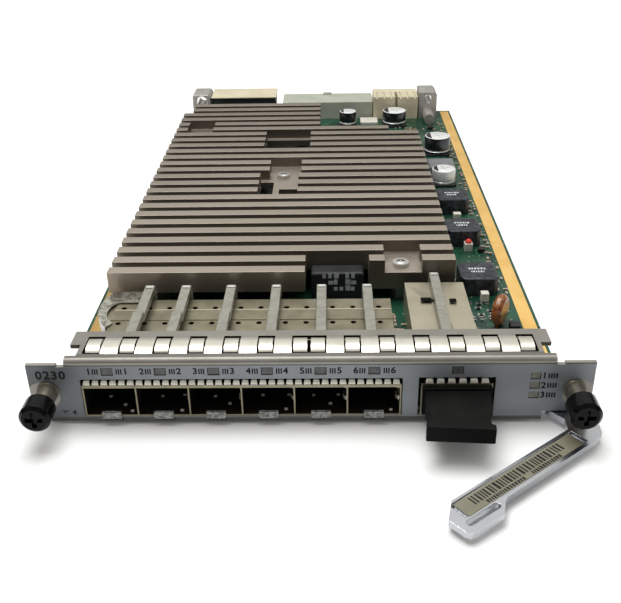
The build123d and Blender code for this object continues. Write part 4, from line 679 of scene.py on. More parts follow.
def face_bars(x, step, count, width, z0, z1):
    """A row of upright bars on the panel's face, in mm."""
    for index in range(count):
        slab(print_mesh, (x + index * step, -0.02, z0), (x + index * step + width, 0.01, z1))


for port, x in enumerate(port_middles, start=1):
    face_number(str(port), x - 4.9, NUMBER_Z)
    face_number(str(port), x + 5.0, NUMBER_Z)
    for start in (x - 4.0, x + 2.4):
        face_bars(start, BAR_STEP, 3, 0.38, 15.2, 16.9)
    face_bars(x - 2.7, BAR_STEP, 9, 0.42, 0.35, 1.25)
for number, z in enumerate((14.07, 11.02, 7.97), start=1):
    face_number(str(number), 62.3, z)
    face_bars(63.3, 0.68, 4, 0.45, z - 0.75, z + 0.8)
for digit, x in zip("0230", (-72.4, -70.3, -68.2, -66.1)):
    face_number(digit, x, 14.9, 2.5)
face_bars(-68.0, 0, 1, 2.2, 3.3, 3.55)
face_bars(-67.1, 0, 1, 0.3, 2.6, 3.3)
face_number("4", -64.4, 2.9, 1.5)
panel_print = new_piece("panel_print", finish_mesh(print_mesh, "panel_print", "print_grey"))
print("print faces", len(panel_print.data.polygons))

# %% [markdown]
# The lever's label is a khaki sticker with a row of dark bars across it and a line of short marks along
# its lower edge. The lever stands open at an angle, so the bars are drawn along its own axes and turned
# with one matrix about the pivot. Their widths come from a fixed seed.

# %% Bars on the lever's label
LEVER_OPEN = math.radians(39)
LABEL_GAP = (-33.5, -30.5)
pivot = joint_named("lever_swing")["pos_m"]
label_top = box_mm("lever_label")[1][2]
lever_turn = Matrix.Translation((pivot[0], pivot[1], 0)) @ Matrix.Rotation(LEVER_OPEN, 4, "Z")
bars = bmesh.new()
widths = random.Random(4)


def label_bar(along, width, near, far):
    """A bar on the label, in mm along and across the lever."""
    slab(bars, (along, near, label_top), (along + width, far, label_top + 0.02), lever_turn)


along = -49.4
while along < -16.5:
    width = widths.choice((0.45, 0.6, 0.85))
    label_bar(along, width, -12.8, -10.0)
    along += width + widths.choice((0.4, 0.5, 0.7))
along = -46.5
while along < -19.4:
    width = widths.choice((0.42, 0.56, 0.7))
    if not LABEL_GAP[0] < along < LABEL_GAP[1]:
        label_bar(along, width, -14.3, -13.2)
    along += width + 0.3
bars_mesh = finish_mesh(bars, "lever_label_bars", "print_grey")
label_bars = new_piece("lever_label_bars", bars_mesh, "lever")
print("label bars", len(label_bars.data.polygons) // 6)

# %% [markdown]
# ## What repeats, set out by Geometry Nodes
# A board has hundreds of small repeated parts: contacts in the sockets, pins soldered through the board,
# screw heads, chip capacitors. One tree puts a copy of a part at every point it is given. Its inputs
# are the part, a size and the finish, and it ends in Realize Instances and Set Material, because the
# exported model keeps only real geometry.


# %% A tree that sets a part out at points
def new_tree(name, inputs):
    """A Geometry Nodes tree with the given inputs beside its geometry, and its input node."""
    tree = bpy.data.node_groups.new(name, "GeometryNodeTree")
    for label, kind in (("Geometry", "Geometry"), *inputs):
        tree.interface.new_socket(label, in_out="INPUT", socket_type=f"NodeSocket{kind}")
    tree.interface.new_socket("Geometry", in_out="OUTPUT", socket_type="NodeSocketGeometry")
    return tree, tree.nodes.new("NodeGroupInput")


def painted_copies(tree, part, coat, inputs):
    """Puts a part at points, makes the copies real and paints them."""
    info = add_node(tree, "GeometryNodeObjectInfo", {"Object": part})
    inputs = {"Instance": info.outputs["Geometry"], **inputs}
    put = add_node(tree, "GeometryNodeInstanceOnPoints", inputs)
    real = add_node(tree, "GeometryNodeRealizeInstances", {"Geometry": put.outputs["Instances"]})
    inputs = {"Geometry": real.outputs["Geometry"], "Material": coat}
    return add_node(tree, "GeometryNodeSetMaterial", inputs).outputs["Geometry"]


def points_tree():
    """Copies a part to every point of the mesh it is put on."""
    tree, given = new_tree("Part at every point", (
        ("Part", "Object"), ("Size", "Vector"), ("Finish", "Material")))
    inputs = {"Points": given.outputs["Geometry"], "Scale": given.outputs["Size"]}
    copies = painted_copies(tree, given.outputs["Part"], given.outputs["Finish"], inputs)
    add_node(tree, "NodeGroupOutput", {"Geometry": copies})
    return tree


POINTS_TREE = points_tree()


def grown(name, mesh, tree, values):
    """Runs a tree on a mesh with the given inputs, and keeps what it makes as a plain piece on the board."""
    holder = bpy.data.objects.new("holder", mesh)
    modifier = holder.modifiers.new("copies", "NODES")
    modifier.node_group = tree
    sockets = {item.name: item.identifier for item in tree.interface.items_tree if item.in_out == "INPUT"}
    for label, value in values.items():
        modifier[sockets[label]] = value
    mesh = frozen(holder)
    mesh.name = name
    for value in values.values():
        if isinstance(value, bpy.types.Object):
            bpy.data.objects.remove(value)
    return new_piece(name, mesh)


def set_out(name, part_mesh, places, coat, size=(1, 1, 1)):
    """A piece with a copy of the part at each place, given in mm."""
    points = bpy.data.meshes.new("points")
    points.from_pydata([tuple(c * MM for c in place) for place in places], [], [])
    part = bpy.data.objects.new("part", part_mesh)
    piece = grown(name, points, POINTS_TREE, {"Part": part, "Size": size, "Finish": look[coat]})
    print(name, "at", len(places), "places")
    return piece


def row(x0, step, count, y, z):
    """Places of a row that runs along X from x0."""
    return [(x0 + step * index, y, z) for index in range(count)]


def grid(x0, x_step, x_count, y0, y_step, y_count, z):
    """Places of a grid that starts at x0, y0."""
    return [(x0 + x_step * i, y0 + y_step * j, z) for i in range(x_count) for j in range(y_count)]


# %% [markdown]
# The gasket on the flange is a strip of beryllium copper springs. Each one is a smooth arch: flat on its
# crest, round at its shoulders and down through a window in the flange. The solids fold it from flats,
# so here the arch is drawn with a power curve and set out at every window, and a lower arch bridges
# each pair. A thin black line of painted shade marks the front of each window.

# %% Spring arches along the flange
ARCH_POWER = 3.2
GASKET_WINDOWS = 7
WINDOW_WIDTH = 4.72


def spring_arch(width, middle, half, foot, crest, steps=14, sheet=0.2):
    """A smooth arch of sheet metal that spans half mm to each side of y = middle."""
    shares = [math.sin(math.pi / 2 * (2 * step / steps - 1)) for step in range(steps + 1)]
    points = [(middle + half * share, crest - (crest - foot) * abs(share) ** ARCH_POWER) for share in shares]
    return strip("spring_arch", points, width, -sheet, smooth=(0, 2))


gasket_end, _, gasket_top = box_mm("gasket_right")[1]
window_pitch = (gasket_end - 0.3 - WINDOW_WIDTH) / (GASKET_WINDOWS - 1)
dome = spring_arch(WINDOW_WIDTH - 1.0, 7.5, 3.95, gasket_top - 1.7, gasket_top)
bridge = spring_arch(window_pitch - WINDOW_WIDTH + 0.1, 7.1, 4.1, gasket_top - 0.88, gasket_top - 0.1)
# A thin black line of painted shade at the front of each window.
window_shade = slabs("window_shade_line", [((-WINDOW_WIDTH / 2, 3.05, -0.02), (WINDOW_WIDTH / 2, 3.62, 0.02))])
for side, name in ((-1, "gasket_left"), (1, "gasket_right")):
    centres = [side * (index * window_pitch + WINDOW_WIDTH / 2) for index in range(GASKET_WINDOWS)]
    between = [(a + b) / 2 for a, b in zip(centres, centres[1:])]
    domes = set_out(f"{name}_domes", dome, [(x, 0, 0) for x in centres], "spring_metal")
    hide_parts(name)
    shade_line_places = [(x, 0, FLANGE_TOP) for x in centres]
    set_out(f"{name}_window_lines", window_shade, shade_line_places, "shade_black")
    set_out(f"{name}_bridges", bridge, [(x, 0, 0) for x in between], "spring_metal")

# %% [markdown]
# Spring fingers stand round the cage's mouths and touch the panel. Each rises from the roof, widens
# and curls down in front. The list gives its height over the roof and its share of the width.

# %% Spring fingers round the cage mouths
FINGERS = 6
WIDE_FINGER_PITCH = 2.95
FINGER_CURL = ((4.4, 0.12, 0.94), (2.4, 1.0, 0.94), (1.5, 1.6, 0.94), (0.7, 1.75, 0.98), (0.1, 1.6, 1.06),
               (-0.2, 1.2, 1.16), (-0.28, 0.5, 1.26))
FINGER_SECTION = ((-1, 0), (-0.45, 0.16), (0.45, 0.16), (1, 0), (1, -0.2), (-1, -0.2))


def finger(width, roof):
    """One finger on a roof at the given height, in mm."""
    rings = []
    for y, z, share in FINGER_CURL:
        half = width * share / 2
        rings.append([(half * across, y, roof + z + rise) for across, rise in FINGER_SECTION])
    return lofted("finger", rings, smooth=range(3))


def finger_row(low, high, pitch, count):
    """Places of a row of fingers about the middle of their node's box."""
    return row((low[0] + high[0]) / 2 - (count - 1) * pitch / 2, pitch, count, 0, 0)


finger_places = finger_row(finger_low, finger_high, PORT_PITCH / FINGERS, PORTS * FINGERS)
fingers = set_out("port_fingers", finger(1.5, finger_low[2]), finger_places, "finger_white")
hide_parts("port_spring_fingers")
wide_places = finger_row(wide_finger_low, wide_finger_high, WIDE_FINGER_PITCH, FINGERS)
wide_finger = finger(1.7, wide_finger_low[2])
wide_fingers = set_out("wide_port_fingers", wide_finger, wide_places, "finger_white")
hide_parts("wide_port_spring_fingers")

# %% [markdown]
# Inside the ports a few bright leaf springs rise from the floor and the side walls, a latch tab hangs
# in front of each opening, and a bar runs across the mouths under the fingers' tips. The leaves on the
# floor are the glints that the photograph shows, so they are placed and kept by a fixed seed.

# %% Leaf springs and tabs inside the ports, and the bar across their mouths
LEAF_SPOTS = ((-1.8, 8.4), (3.1, 4.6), (4.9, 8.6), (5.0, 1.7))
LEAF_SHARE = 0.8
SIDE_WALL = 6.75
cage_floor = cage_low[2] + 0.3
leaf_draws = random.Random(31)
leaf_places = []
for x in port_middles:
    for shift, y in LEAF_SPOTS:
        if leaf_draws.random() < LEAF_SHARE:
            aside, back = leaf_draws.uniform(-0.6, 0.6), leaf_draws.uniform(-0.4, 0.4)
            leaf_places.append((x + shift + aside, y + back, cage_floor))
floor_leaf = spring_arch(0.9, 0, 0.5, 0.0, 0.55, steps=8, sheet=0.1)
set_out("floor_leaf_springs", floor_leaf, leaf_places, "finger_white")
tab = slabs("port_tab", [((-2.65, -1.18, 1.5), (2.65, -1.11, 3.7)), ((-2.65, -1.18, 3.6), (2.65, -0.5, 3.7))])
set_out("port_tabs", tab, [(x, 0, 0) for x in port_middles], "tab_grey")
mouths = ((cage_low, cage_high, finger_low[2]), (wide_cage_low, wide_cage_high, wide_finger_low[2]))
bar_boxes = [((low[0], -0.4, roof - 0.3), (high[0], -0.3, roof + 0.55)) for low, high, roof in mouths]
new_piece("mouth_bars", slabs("mouth_bars", bar_boxes, "cage_tin"))
side_leaf = spring_arch(1.3, 4.0, 1.5, 0, 0.8)
side_leaf.transform(Matrix.Rotation(math.radians(-90), 4, "Y"))
side_places = [(x + SIDE_WALL, 0, z) for z in (5.6, 9.4) for x in port_middles]
set_out("side_leaf_springs", side_leaf, side_places, "spring_metal")

# %% [markdown]
# Black sheets of painted shade close the view under the flange, beside the cages and between their roofs and
# the panel, and paint shade over the holes in the wide cage's roof. A line of painted highlight runs along the
# strap's rear edge across the small ports, the curved shield stands on a floor, and each light pipe has a
# painted highlight on its end with a painted shade line before it.

# %% Painted shade sheets behind the panel
WIDE_ROOF_HOLE_SHADES = ((34.0, 37.4, 44.8, 47.2), (42.9, 45.0, 44.2, 46.5))
SHADE_SHEET_FRONT, SHADE_SHEET_REAR = 1.3, 2.6
# Black sheets of painted shade: under the flange, beside the cages, on the roofs under the fingers and up to the
# panel, and over the wide cage's roof holes.
shade_sheets = [((-62, 2.4, 17.5), (62, 12.8, 17.8))]
for low, high, roof in mouths:
    for x0, x1 in ((low[0] - 1.4, low[0] - 0.03), (high[0] + 0.03, high[0] + 1.4)):
        shade_sheets.append(((x0, SHADE_SHEET_FRONT, 3.6), (x1, SHADE_SHEET_REAR, 14.2)))
    shade_sheets.append(((low[0], -0.2, roof + 0.02), (high[0], 3.6, roof + 0.06)))
    shade_sheets.append(((low[0], 3.6, roof + 0.02), (high[0], 3.9, roof + 1.9)))
wide_roof = wide_cage_high[2]
for x0, x1, y0, y1 in WIDE_ROOF_HOLE_SHADES:
    shade_sheets.append(((x0, y0, wide_roof - 0.05), (x1, y1, wide_roof + 0.02)))
new_piece("panel_liner", slabs("panel_liner", shade_sheets, "shade_black"))
print("liner slabs", len(shade_sheets))

# %% Painted highlights on the strap and the light pipe ends, painted shade lines, and the shield floor
SHIELD_OUTLINE = ((0.1, 30.6), (-2.6, 34.0), (-4.1, 38.5), (-4.4, 43.0), (-3.9, 48.0), (-2.3, 51.9),
                  (0.1, 52.3))
PIPE_WIDTH = 2.7
# A line of painted highlight along the strap's rear edge.
strap_highlight_box = ((cage_low[0] + 0.3, 41.3, cage_high[2] + 0.01), (cage_high[0] - 0.3, 41.7, cage_high[2] + 0.05))
new_piece("strap_line", slabs("strap_line", [strap_highlight_box], "strap_highlight"))
shield_rings = [[(finger_low[0] + x, y, finger_low[2] + z) for x, y in SHIELD_OUTLINE] for z in (-0.6, -0.3)]
new_piece("shield_floor", lofted("shield_floor", shield_rings, coats=("cage_tin",)))
# Each light pipe's end gets a painted highlight, with a painted shade line just before it.
ends, shade_lines = [], []
for number in PIPES:
    right_side, rear, pipe_top = box_mm(f"light_pipe_{number}")[1]
    left_side = right_side - PIPE_WIDTH
    top = pipe_top - (2.7 if number == 7 else 1.4)
    ends.append(((left_side + 0.2, rear - 3.2, top - 0.02), (right_side - 0.4, rear - 1.8, top + 0.03)))
    shade_lines.append(((left_side + 0.1, rear - 3.7, top - 0.02), (right_side - 0.3, rear - 3.35, top + 0.03)))
new_piece("light_pipe_ends", slabs("light_pipe_ends", ends, "pipe_end_highlight"))
new_piece("light_pipe_lines", slabs("light_pipe_lines", shade_lines, "print_grey"))
print("pipes", len(ends))

# %% [markdown]
# A soldered pin is a small bright cone of solder that ends in the pin's blunt tip. It is turned with
# eight sides, which is enough at half a millimetre, and the same part serves every connector.

# %% Solder joints under the connectors and cages
CONTACT_STEP = 0.8
LEFT_X, LEFT_STEP, LEFT_COUNT = -54.7, 3.6, 9
MIDDLE_X, MIDDLE_STEP, MIDDLE_COUNT = -14.8, 4.4, 10
cage_legs = [cage_low[0] + CAGE_WALL + PORT_PITCH * wall for wall in range(PORTS + 1)]
joint_places = [(x, y, UNDER) for x in cage_legs for y in (9.0, 17.0, 25.0, 33.0, 41.0, 46.5)]
for x in port_middles:
    joint_places += grid(x - 3.6, CONTACT_STEP, 10, 36.0, 7.6, 2, UNDER)
joint_places += grid(33.2, CONTACT_STEP, 17, 48.0, 7.0, 2, UNDER)
joint_places += grid(LEFT_X, LEFT_STEP, LEFT_COUNT, 273.0, 2.6, 4, UNDER)
joint_places += grid(MIDDLE_X, MIDDLE_STEP, MIDDLE_COUNT, 273.0, 3.4, 3, UNDER)
joint_places += grid(32.9, 5.0, 4, 272.0, 4.0, 3, UNDER)
solder_joint = lathe("solder_joint", [(0.55, 0.02), (0.32, -0.25), (0.2, -0.6)], 8)
set_out("solder_joints", solder_joint, joint_places, "solder")

# %% [markdown]
# Down inside each port a row of gold spring contacts waits for the module's card edge. From the front
# they are only glints in the dark. Each is a bent strip, and a row of ten sits above and below the slot.

# %% Contacts in the port connectors
contact = strip("contact", [(0, 0.05), (0.5, -0.2), (1.6, 0.0), (3.4, 0.1)], 0.42, 0.12)
connector_low, connector_high = box_mm("port_connectors")
slot_z = (connector_low[2] + connector_high[2]) / 2
contact_y = connector_low[1] + 0.6
contact_places = []
for x in port_middles:
    for above in (0.45, -0.6):
        contact_places += row(x - 3.6, CONTACT_STEP, 10, contact_y, slot_z + above)
set_out("port_contacts", contact, contact_places, "contact_gold")
connector_low, connector_high = box_mm("wide_port_connector")
slot_z = (connector_low[2] + connector_high[2]) / 2
wide_contacts = row(WIDE_PORT_X - 6.0, CONTACT_STEP, 16, connector_low[1] + 0.6, slot_z + 0.45)
set_out("wide_port_contacts", contact, wide_contacts, "contact_gold")

# %% [markdown]
# The rear connectors mate with the rack's backplane. The left one holds contacts in square chambers, the
# middle one stands blades up inside its shroud, and the power block has wide blades. All are one blade,
# stretched to suit.

# %% Contacts at the rear
blade = strip("blade", [(0, 0), (3.2, 0)], 0.5, 0.9)
left_places = [spot for z in (3.8, 7.4, 11.0) for spot in row(LEFT_X, LEFT_STEP, LEFT_COUNT, 279.9, z)]
middle_places = [spot for z in (4.3, 7.7) for spot in row(MIDDLE_X, MIDDLE_STEP, MIDDLE_COUNT, 279.6, z)]
power_places = [(x, 279.4, 5.4) for x in (32.9, 37.9, 45.4, 50.4)]
for name, places, size in (
    ("left_contacts", left_places, (1, 1, 1)),
    ("middle_contacts", middle_places, (1.4, 1.9, 0.8)),
    ("power_blades", power_places, (2.0, 1.2, 5.6)),
):
    set_out(name, blade, places, "contact_gold", size)

# %% [markdown]
# The chip parts are soldered by machine: a ceramic body with a tinned end at each side, laid square to the
# board and never quite in line. A second tree scatters them over a patch of board. It draws each
# one's turn and keeps or drops it from a fixed seed, and gives bodies and ends their own finish.

# %% A tree that scatters chip parts over a patch
JITTER = 0.5 * MM


def scatter_tree():
    """Chip parts on a jittered grid, with separate finishes for their bodies and ends."""
    tree, given = new_tree("Scattered chip parts", (
        ("Patch Size X", "Float"), ("Patch Size Y", "Float"), ("Count X", "Int"), ("Count Y", "Int"),
        ("Middle", "Vector"), ("Kept Share", "Float"), ("Seed", "Int"), ("Body", "Object"),
        ("Ends", "Object"), ("Body Finish", "Material"), ("End Finish", "Material")))
    wish = given.outputs

    def draw(kind, **limits):
        """A random value for each chip part, from the tree's own seed."""
        inputs = {"Seed": wish["Seed"], **limits}
        return add_node(tree, "FunctionNodeRandomValue", inputs, data_type=kind).outputs

    field = add_node(tree, "GeometryNodeMeshGrid", {
        "Size X": wish["Patch Size X"], "Size Y": wish["Patch Size Y"],
        "Vertices X": wish["Count X"], "Vertices Y": wish["Count Y"]})
    jitter = draw("FLOAT_VECTOR", Min=(-JITTER, -JITTER, 0), Max=(JITTER, JITTER, 0))["Value"]
    offset = add_node(tree, "ShaderNodeVectorMath", {0: jitter, 1: wish["Middle"]}).outputs["Vector"]
    shift = add_node(tree, "GeometryNodeSetPosition", {"Geometry": field.outputs["Mesh"], "Offset": offset})
    kept = {0: draw("FLOAT")[1], 1: wish["Kept Share"]}
    keep = add_node(tree, "FunctionNodeCompare", kept, operation="LESS_THAN")
    turn = math_node(tree, "MULTIPLY", draw("INT", Min=0, Max=1)[2], math.pi / 2)
    about_z = add_node(tree, "ShaderNodeCombineXYZ", {"Z": turn})
    both = tree.nodes.new("GeometryNodeJoinGeometry")
    for part, coat in (("Body", "Body Finish"), ("Ends", "End Finish")):
        fill(tree, both, {"Geometry": painted_copies(tree, wish[part], wish[coat], {
            "Points": shift.outputs["Geometry"], "Selection": keep.outputs["Result"],
            "Rotation": about_z.outputs["Vector"]})})
    add_node(tree, "NodeGroupOutput", {"Geometry": both.outputs["Geometry"]})
    return tree


SCATTER_TREE = scatter_tree()


def chip_part(length, width, height):
    """The body and the two ends of a chip part, standing on z = 0, in mm."""
    body = [((-length * 0.3, -width / 2, 0.02), (length * 0.3, width / 2, height))]
    ends = []
    for side in (-1, 1):
        near, far = sorted((side * length * 0.28, side * length / 2))
        ends.append(((near, -width * 0.53, 0), (far, width * 0.53, height * 1.04)))
        ends.append(((near - 0.1, -width * 0.6, 0), (far + 0.25 * side, width * 0.6, 0.06)))
    return slabs("chip_body", body), slabs("chip_ends", ends)


def scatter(name, patch, step, share, seed, sizes=(1.6, 0.8, 0.6), coat="tan_ceramic", below=False):
    """Chip parts over a patch (x0, x1, y0, y1) in mm, about step mm apart, or hung below the board."""
    x0, x1, y0, y1 = patch
    meshes = chip_part(*sizes)
    if below:
        for mesh in meshes:
            mesh.transform(Matrix.Rotation(math.pi, 4, "X"))
    body, ends = (bpy.data.objects.new("chip", mesh) for mesh in meshes)
    piece = grown(name, bpy.data.meshes.new("empty"), SCATTER_TREE, {
        "Patch Size X": (x1 - x0) * MM,
        "Patch Size Y": (y1 - y0) * MM,
        "Count X": max(2, round((x1 - x0) / step) + 1),
        "Count Y": max(2, round((y1 - y0) / step) + 1),
        "Middle": ((x0 + x1) / 2 * MM, (y0 + y1) / 2 * MM, (UNDER if below else TOP) * MM),
        "Kept Share": share,
        "Seed": seed,
        "Body": body,
        "Ends": ends,
        "Body Finish": look[coat],
        "End Finish": look["solder"],
    })
    print(name, "faces", len(piece.data.polygons))


scatter("chips_behind_ports", (-58, 26, 50.6, 53.6), 2.2, 0.55, 3)
scatter("chips_right_front", (52.5, 64.0, 19.0, 41.0), 2.6, 0.6, 7, (1.7, 0.9, 0.7))
scatter("chips_right_front_dark", (51.8, 64.0, 51.0, 61.0), 2.8, 0.55, 9, (2.0, 1.2, 0.6), "chip_black")
scatter("chips_between_cages", (26.3, 28.6, 30.0, 52.0), 2.0, 0.5, 2)
scatter("chips_beside_sink", (48.4, 49.2, 62.0, 250.0), 2.4, 0.6, 5)
scatter("chips_right_edge", (63.6, 65.4, 66.0, 262.0), 2.6, 0.45, 6)
scatter("chips_rear_right", (24.0, 60.0, 249.0, 251.5), 2.4, 0.5, 8)
scatter("chips_below", (-55, 45, 60, 240), 6.5, 0.45, 11, below=True)

# %% [markdown]
# ## Small parts with more to show
# The screws on the heatsink and the capacitors catch the eye because they are bright. A screw head is
# domed with a cross recess, which is a star-shaped hole in the ring of faces at its middle. A
# capacitor's can has a rolled groove near its foot, a scored cross on its flat top, and a dark
# segment printed over the side of its negative lead.

# %% Cross-recessed screw heads on the heatsink
HEAD_RADIUS, HEAD_HEIGHT, HEAD_SEAT = 2.2, 2.1, 2.0
HEAD_DOME = ((1.0, 0.0), (1.0, 0.55), (0.93, 0.8), (0.76, 0.96))
RECESS_DEPTH = 0.45


def cross_head(radius, height):
    """A domed head with a cross recess, standing on z = 0, in mm."""
    arm, half = radius * 0.52, radius * 0.13
    star = []
    for quarter in range(4):
        turn = Matrix.Rotation(quarter * math.pi / 2, 2)
        star += [turn @ Vector(point) for point in ((arm, -half), (arm, half), (half, half))]
    unit = [point.normalized() * radius for point in star]
    rings = [[(x * share, y * share, height * rise) for x, y in unit] for share, rise in HEAD_DOME]
    rings.append([(x, y, height) for x, y in star])
    rings.append([(x * 0.8, y * 0.8, height * RECESS_DEPTH) for x, y in star])
    return lofted("cross_head", rings)


head_seat = box_mm("heatsink_screws")[1][2] - HEAD_SEAT
head_places = [(29.4, 69.0, head_seat), (-13.4, 152.7, head_seat)]
screw_head = cross_head(HEAD_RADIUS, HEAD_HEIGHT)
set_out("heatsink_screw_heads", screw_head, head_places, "bright_steel")

# %% Capacitor cans with groove, scored top and dark segment
CAPACITORS = [  # the middle's x and y, the radius and the height
    (57.8, 213.4, 6.1, 7.6), (40.2, 259.6, 6.1, 6.6), (56.1, 172.4, 5.2, 6.0), (15.6, 258.5, 4.4, 6.8)]
CAN_FOOT = TOP + 1.0
GROOVE = 0.35
SEGMENT = [math.radians(125 + step * 11) for step in range(11)]
PALE_CAN_Y = 172.4
cans = bmesh.new()
segments = bmesh.new()
for x, y, radius, height in CAPACITORS:
    can_top = CAN_FOOT + height
    can = lathe("can", [
        (radius - 0.15, CAN_FOOT), (radius, CAN_FOOT + 0.3), (radius, CAN_FOOT + 0.9),
        (radius - GROOVE, CAN_FOOT + 1.3), (radius, CAN_FOOT + 1.7), (radius, can_top - 0.5),
        (radius - 0.15, can_top - 0.12), (radius - 0.5, can_top)], 40)
    here = Matrix.Translation((x * MM, y * MM, 0))
    can.transform(here)
    cans.from_mesh(can)
    bpy.data.meshes.remove(can)
    for turned in (0.4, 0.4 + math.pi / 2):
        score = here @ Matrix.Rotation(turned, 4, "Z")
        scored = radius * 0.6
        slab(segments, (-scored, -0.06, can_top - 0.05), (scored, 0.06, can_top + 0.015), score)
    reach = radius - 0.6
    rim = [(x + reach * math.cos(a), y + reach * math.sin(a), can_top + 0.01) for a in SEGMENT]
    segments.faces.new([segments.verts.new([c * MM for c in point]) for point in rim])
can_mesh = finish_mesh(cans, "capacitor_cans_mesh", "can_metal", "can_side")
capacitor_cans = new_piece("capacitor_cans_finished", can_mesh)
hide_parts("capacitor_cans")
for face in can_mesh.polygons:
    if abs(face.normal.z) < 0.5 and abs(face.center.y / MM - PALE_CAN_Y) > 8:
        face.material_index = 1
new_piece("capacitor_marks", finish_mesh(segments, "capacitor_marks", "chip_black"))
print("cans", len(CAPACITORS))

# %% [markdown]
# The inductors are printed with a value in pale ink. Plain bars stand in for it, two rows on each top and
# a few columns on the face of the tall inductor that looks out of the heatsink's notch.

# %% Pale print on the inductors and chips
INK = 0.02
ink = bmesh.new()
draws = random.Random(12)


def ink_row(x0, x1, y0, y1, z):
    """A row of short bars on a top face, in mm."""
    x = x0
    while x < x1 - 0.3:
        width = draws.choice((0.35, 0.6, 0.8))
        slab(ink, (x, y0, z), (min(x + width, x1), y1, z + INK))
        x += width + 0.3


inductor_top = box_mm("power_inductors")[1][2]
for y in (73.4, 112.4, 143.3):
    ink_row(53.2, 59.0, y + 0.6, y + 1.8, inductor_top)
    ink_row(53.8, 58.2, y - 1.6, y - 0.5, inductor_top)
front_y = box_mm("front_inductor")[0][1]
for column in range(6):
    for line_number in range(3):
        x = 3.2 + column * 1.9
        z = 6.2 + line_number * 2.3
        if draws.random() < 0.9:
            wide = draws.choice((1.2, 1.7))
            slab(ink, (x, front_y - INK, z), (x + wide, front_y + 0.01, z + draws.choice((1.4, 1.9))))
new_piece("pale_print", finish_mesh(ink, "pale_print", "print_white"))

# %% [markdown]
# ## Camera, light and floor
# The camera was fitted to the port pitch, the panel and the board's edges. Its place and three angles are
# written as they were found: it looks down on the board from in front, a little right of the middle.
# A broad lamp hangs over the board, so the panel's face and the floor in front of it fall into soft
# shade, and a pale sky fills the rest. The sky is darker near the horizon and in front, so that bare
# metal has something to show, while the camera itself sees plain white.

# %% The fitted camera
CAMERA_PLACE = Vector((5.94173, -193.84139, 143.37622)) * MM
PITCH, YAW, ROLL = (math.radians(angle) for angle in (28.74584, 1.52425, 1.14555))
FOCAL_PIXELS = 873.1106
PHOTO_WIDTH = 621
spin = Matrix.Rotation(YAW, 3, "Z")
forward = spin @ Vector((0, math.cos(PITCH), -math.sin(PITCH)))
level_right = spin @ Vector((1, 0, 0))
level_down = spin @ Vector((0, -math.sin(PITCH), -math.cos(PITCH)))
right = math.cos(ROLL) * level_right + math.sin(ROLL) * level_down
down = -math.sin(ROLL) * level_right + math.cos(ROLL) * level_down
lens = bpy.data.cameras.new("photo_camera")
lens.sensor_width = 36
lens.sensor_fit = "HORIZONTAL"
lens.lens = FOCAL_PIXELS / PHOTO_WIDTH * lens.sensor_width
lens.clip_start = 0.01
camera = bpy.data.objects.new("photo_camera", lens)
facing = Matrix((right, -down, -forward)).transposed()
camera.matrix_world = Matrix.Translation(CAMERA_PLACE) @ facing.to_4x4()
scene.collection.objects.link(camera)
scene.camera = camera
scene.view_settings.view_transform = "Standard"
print("lens", round(lens.lens, 2), "mm")


# %% Lamp and world
def area_lamp(name, place, aim, size, watts):
    """A rectangular area lamp that looks at a point, in metres."""
    light = bpy.data.lights.new(name, "AREA")
    light.shape = "RECTANGLE"
    light.size, light.size_y = size
    light.energy = watts
    lamp = bpy.data.objects.new(name, light)
    lamp.location = place
    lamp.rotation_euler = (Vector(aim) - Vector(place)).to_track_quat("-Z", "Y").to_euler()
    scene.collection.objects.link(lamp)


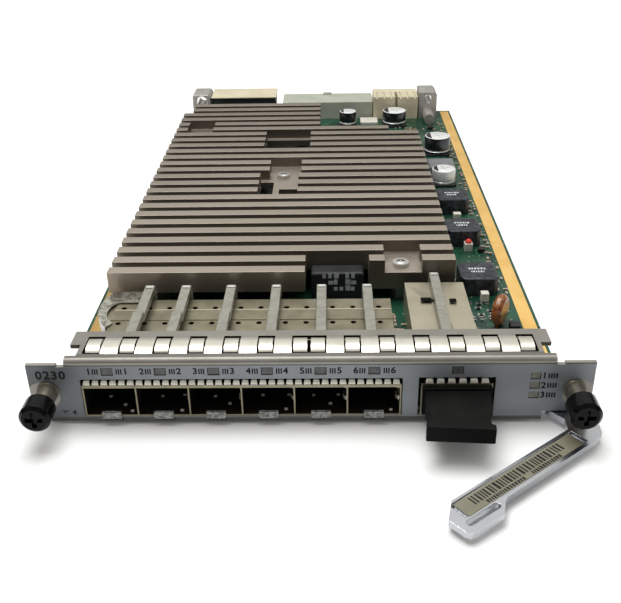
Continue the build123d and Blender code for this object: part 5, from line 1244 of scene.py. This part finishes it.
def sky():
    """White for the camera, and a soft dome for everything else."""
    world = bpy.data.worlds.new("studio")
    world.use_nodes = True
    tree = world.node_tree
    toward = axes_of(tree, add_node(tree, "ShaderNodeTexCoord").outputs["Generated"])
    rise = levels(tree, toward["Z"], 0.20, 0.60, 0.10, 0.92)
    behind = levels(tree, toward["Y"], -0.9, 0.3, 0.22, 1.0)
    dome = tree.nodes["Background"]
    fill(tree, dome, {"Color": (1.0, 0.985, 0.95, 1), "Strength": math_node(tree, "MULTIPLY", rise, behind)})
    paper = add_node(tree, "ShaderNodeBackground", {"Color": (1, 1, 1, 1), "Strength": 1.0})
    seen = add_node(tree, "ShaderNodeLightPath").outputs["Is Camera Ray"]
    inputs = {"Fac": seen, 1: dome.outputs["Background"], 2: paper.outputs["Background"]}
    mix = add_node(tree, "ShaderNodeMixShader", inputs)
    fill(tree, tree.nodes["World Output"], {"Surface": mix.outputs["Shader"]})
    return world


area_lamp("top_softbox", (-0.06, 0.12, 0.50), (-0.02, 0.06, 0), (0.42, 0.30), 2.6)
scene.world = sky()
print("lamps", len(bpy.data.lights), "world", scene.world.name)

# %% [markdown]
# The floor is white and catches the soft shadow. Seen directly or in a reflection it glows a little as
# well, least right under the board and most far away, so that it fades into the white of the sky.

# %% The floor
FLOOR_LIFT = 0.035
FLOOR_GAP = 0.00002


def floor(z):
    """A large white floor under the lowest point."""
    work = bmesh.new()
    bmesh.ops.create_grid(work, x_segments=2, y_segments=2, size=3.0)
    bmesh.ops.translate(work, verts=work.verts, vec=(0, 1.0, z))
    white = finish("floor_white", (0.86, 0.86, 0.86), (0.88, 0.88, 0.88), 0.6, 0.0, 300, 2.0)
    look["floor_white"] = white
    tree = white.node_tree
    seen = add_node(tree, "ShaderNodeLightPath").outputs
    either = math_node(tree, "MAXIMUM", seen["Is Camera Ray"], seen["Is Glossy Ray"])
    length = add_node(tree, "ShaderNodeVectorMath", {0: object_place(tree)}, operation="LENGTH")
    reach = length.outputs["Value"]
    near = levels(tree, reach, 0.05, 0.13, FLOOR_LIFT, 0.22)
    far = levels(tree, reach, 0.35, 1.6, 0.0, 0.70)
    strength = math_node(tree, "MULTIPLY", either, math_node(tree, "ADD", near, far))
    lift = add_node(tree, "ShaderNodeEmission", {"Strength": strength}).outputs["Emission"]
    both = add_node(tree, "ShaderNodeAddShader", {0: shader_of(white).outputs["BSDF"], 1: lift})
    fill(tree, tree.nodes["Material Output"], {"Surface": both.outputs["Shader"]})
    sheet = bpy.data.objects.new("floor", finish_mesh(work, "floor", "floor_white"))
    scene.collection.objects.link(sheet)


floor(cad_box[0][2] - FLOOR_GAP)
print("floor at", round(cad_box[0][2] / MM, 2), "mm")
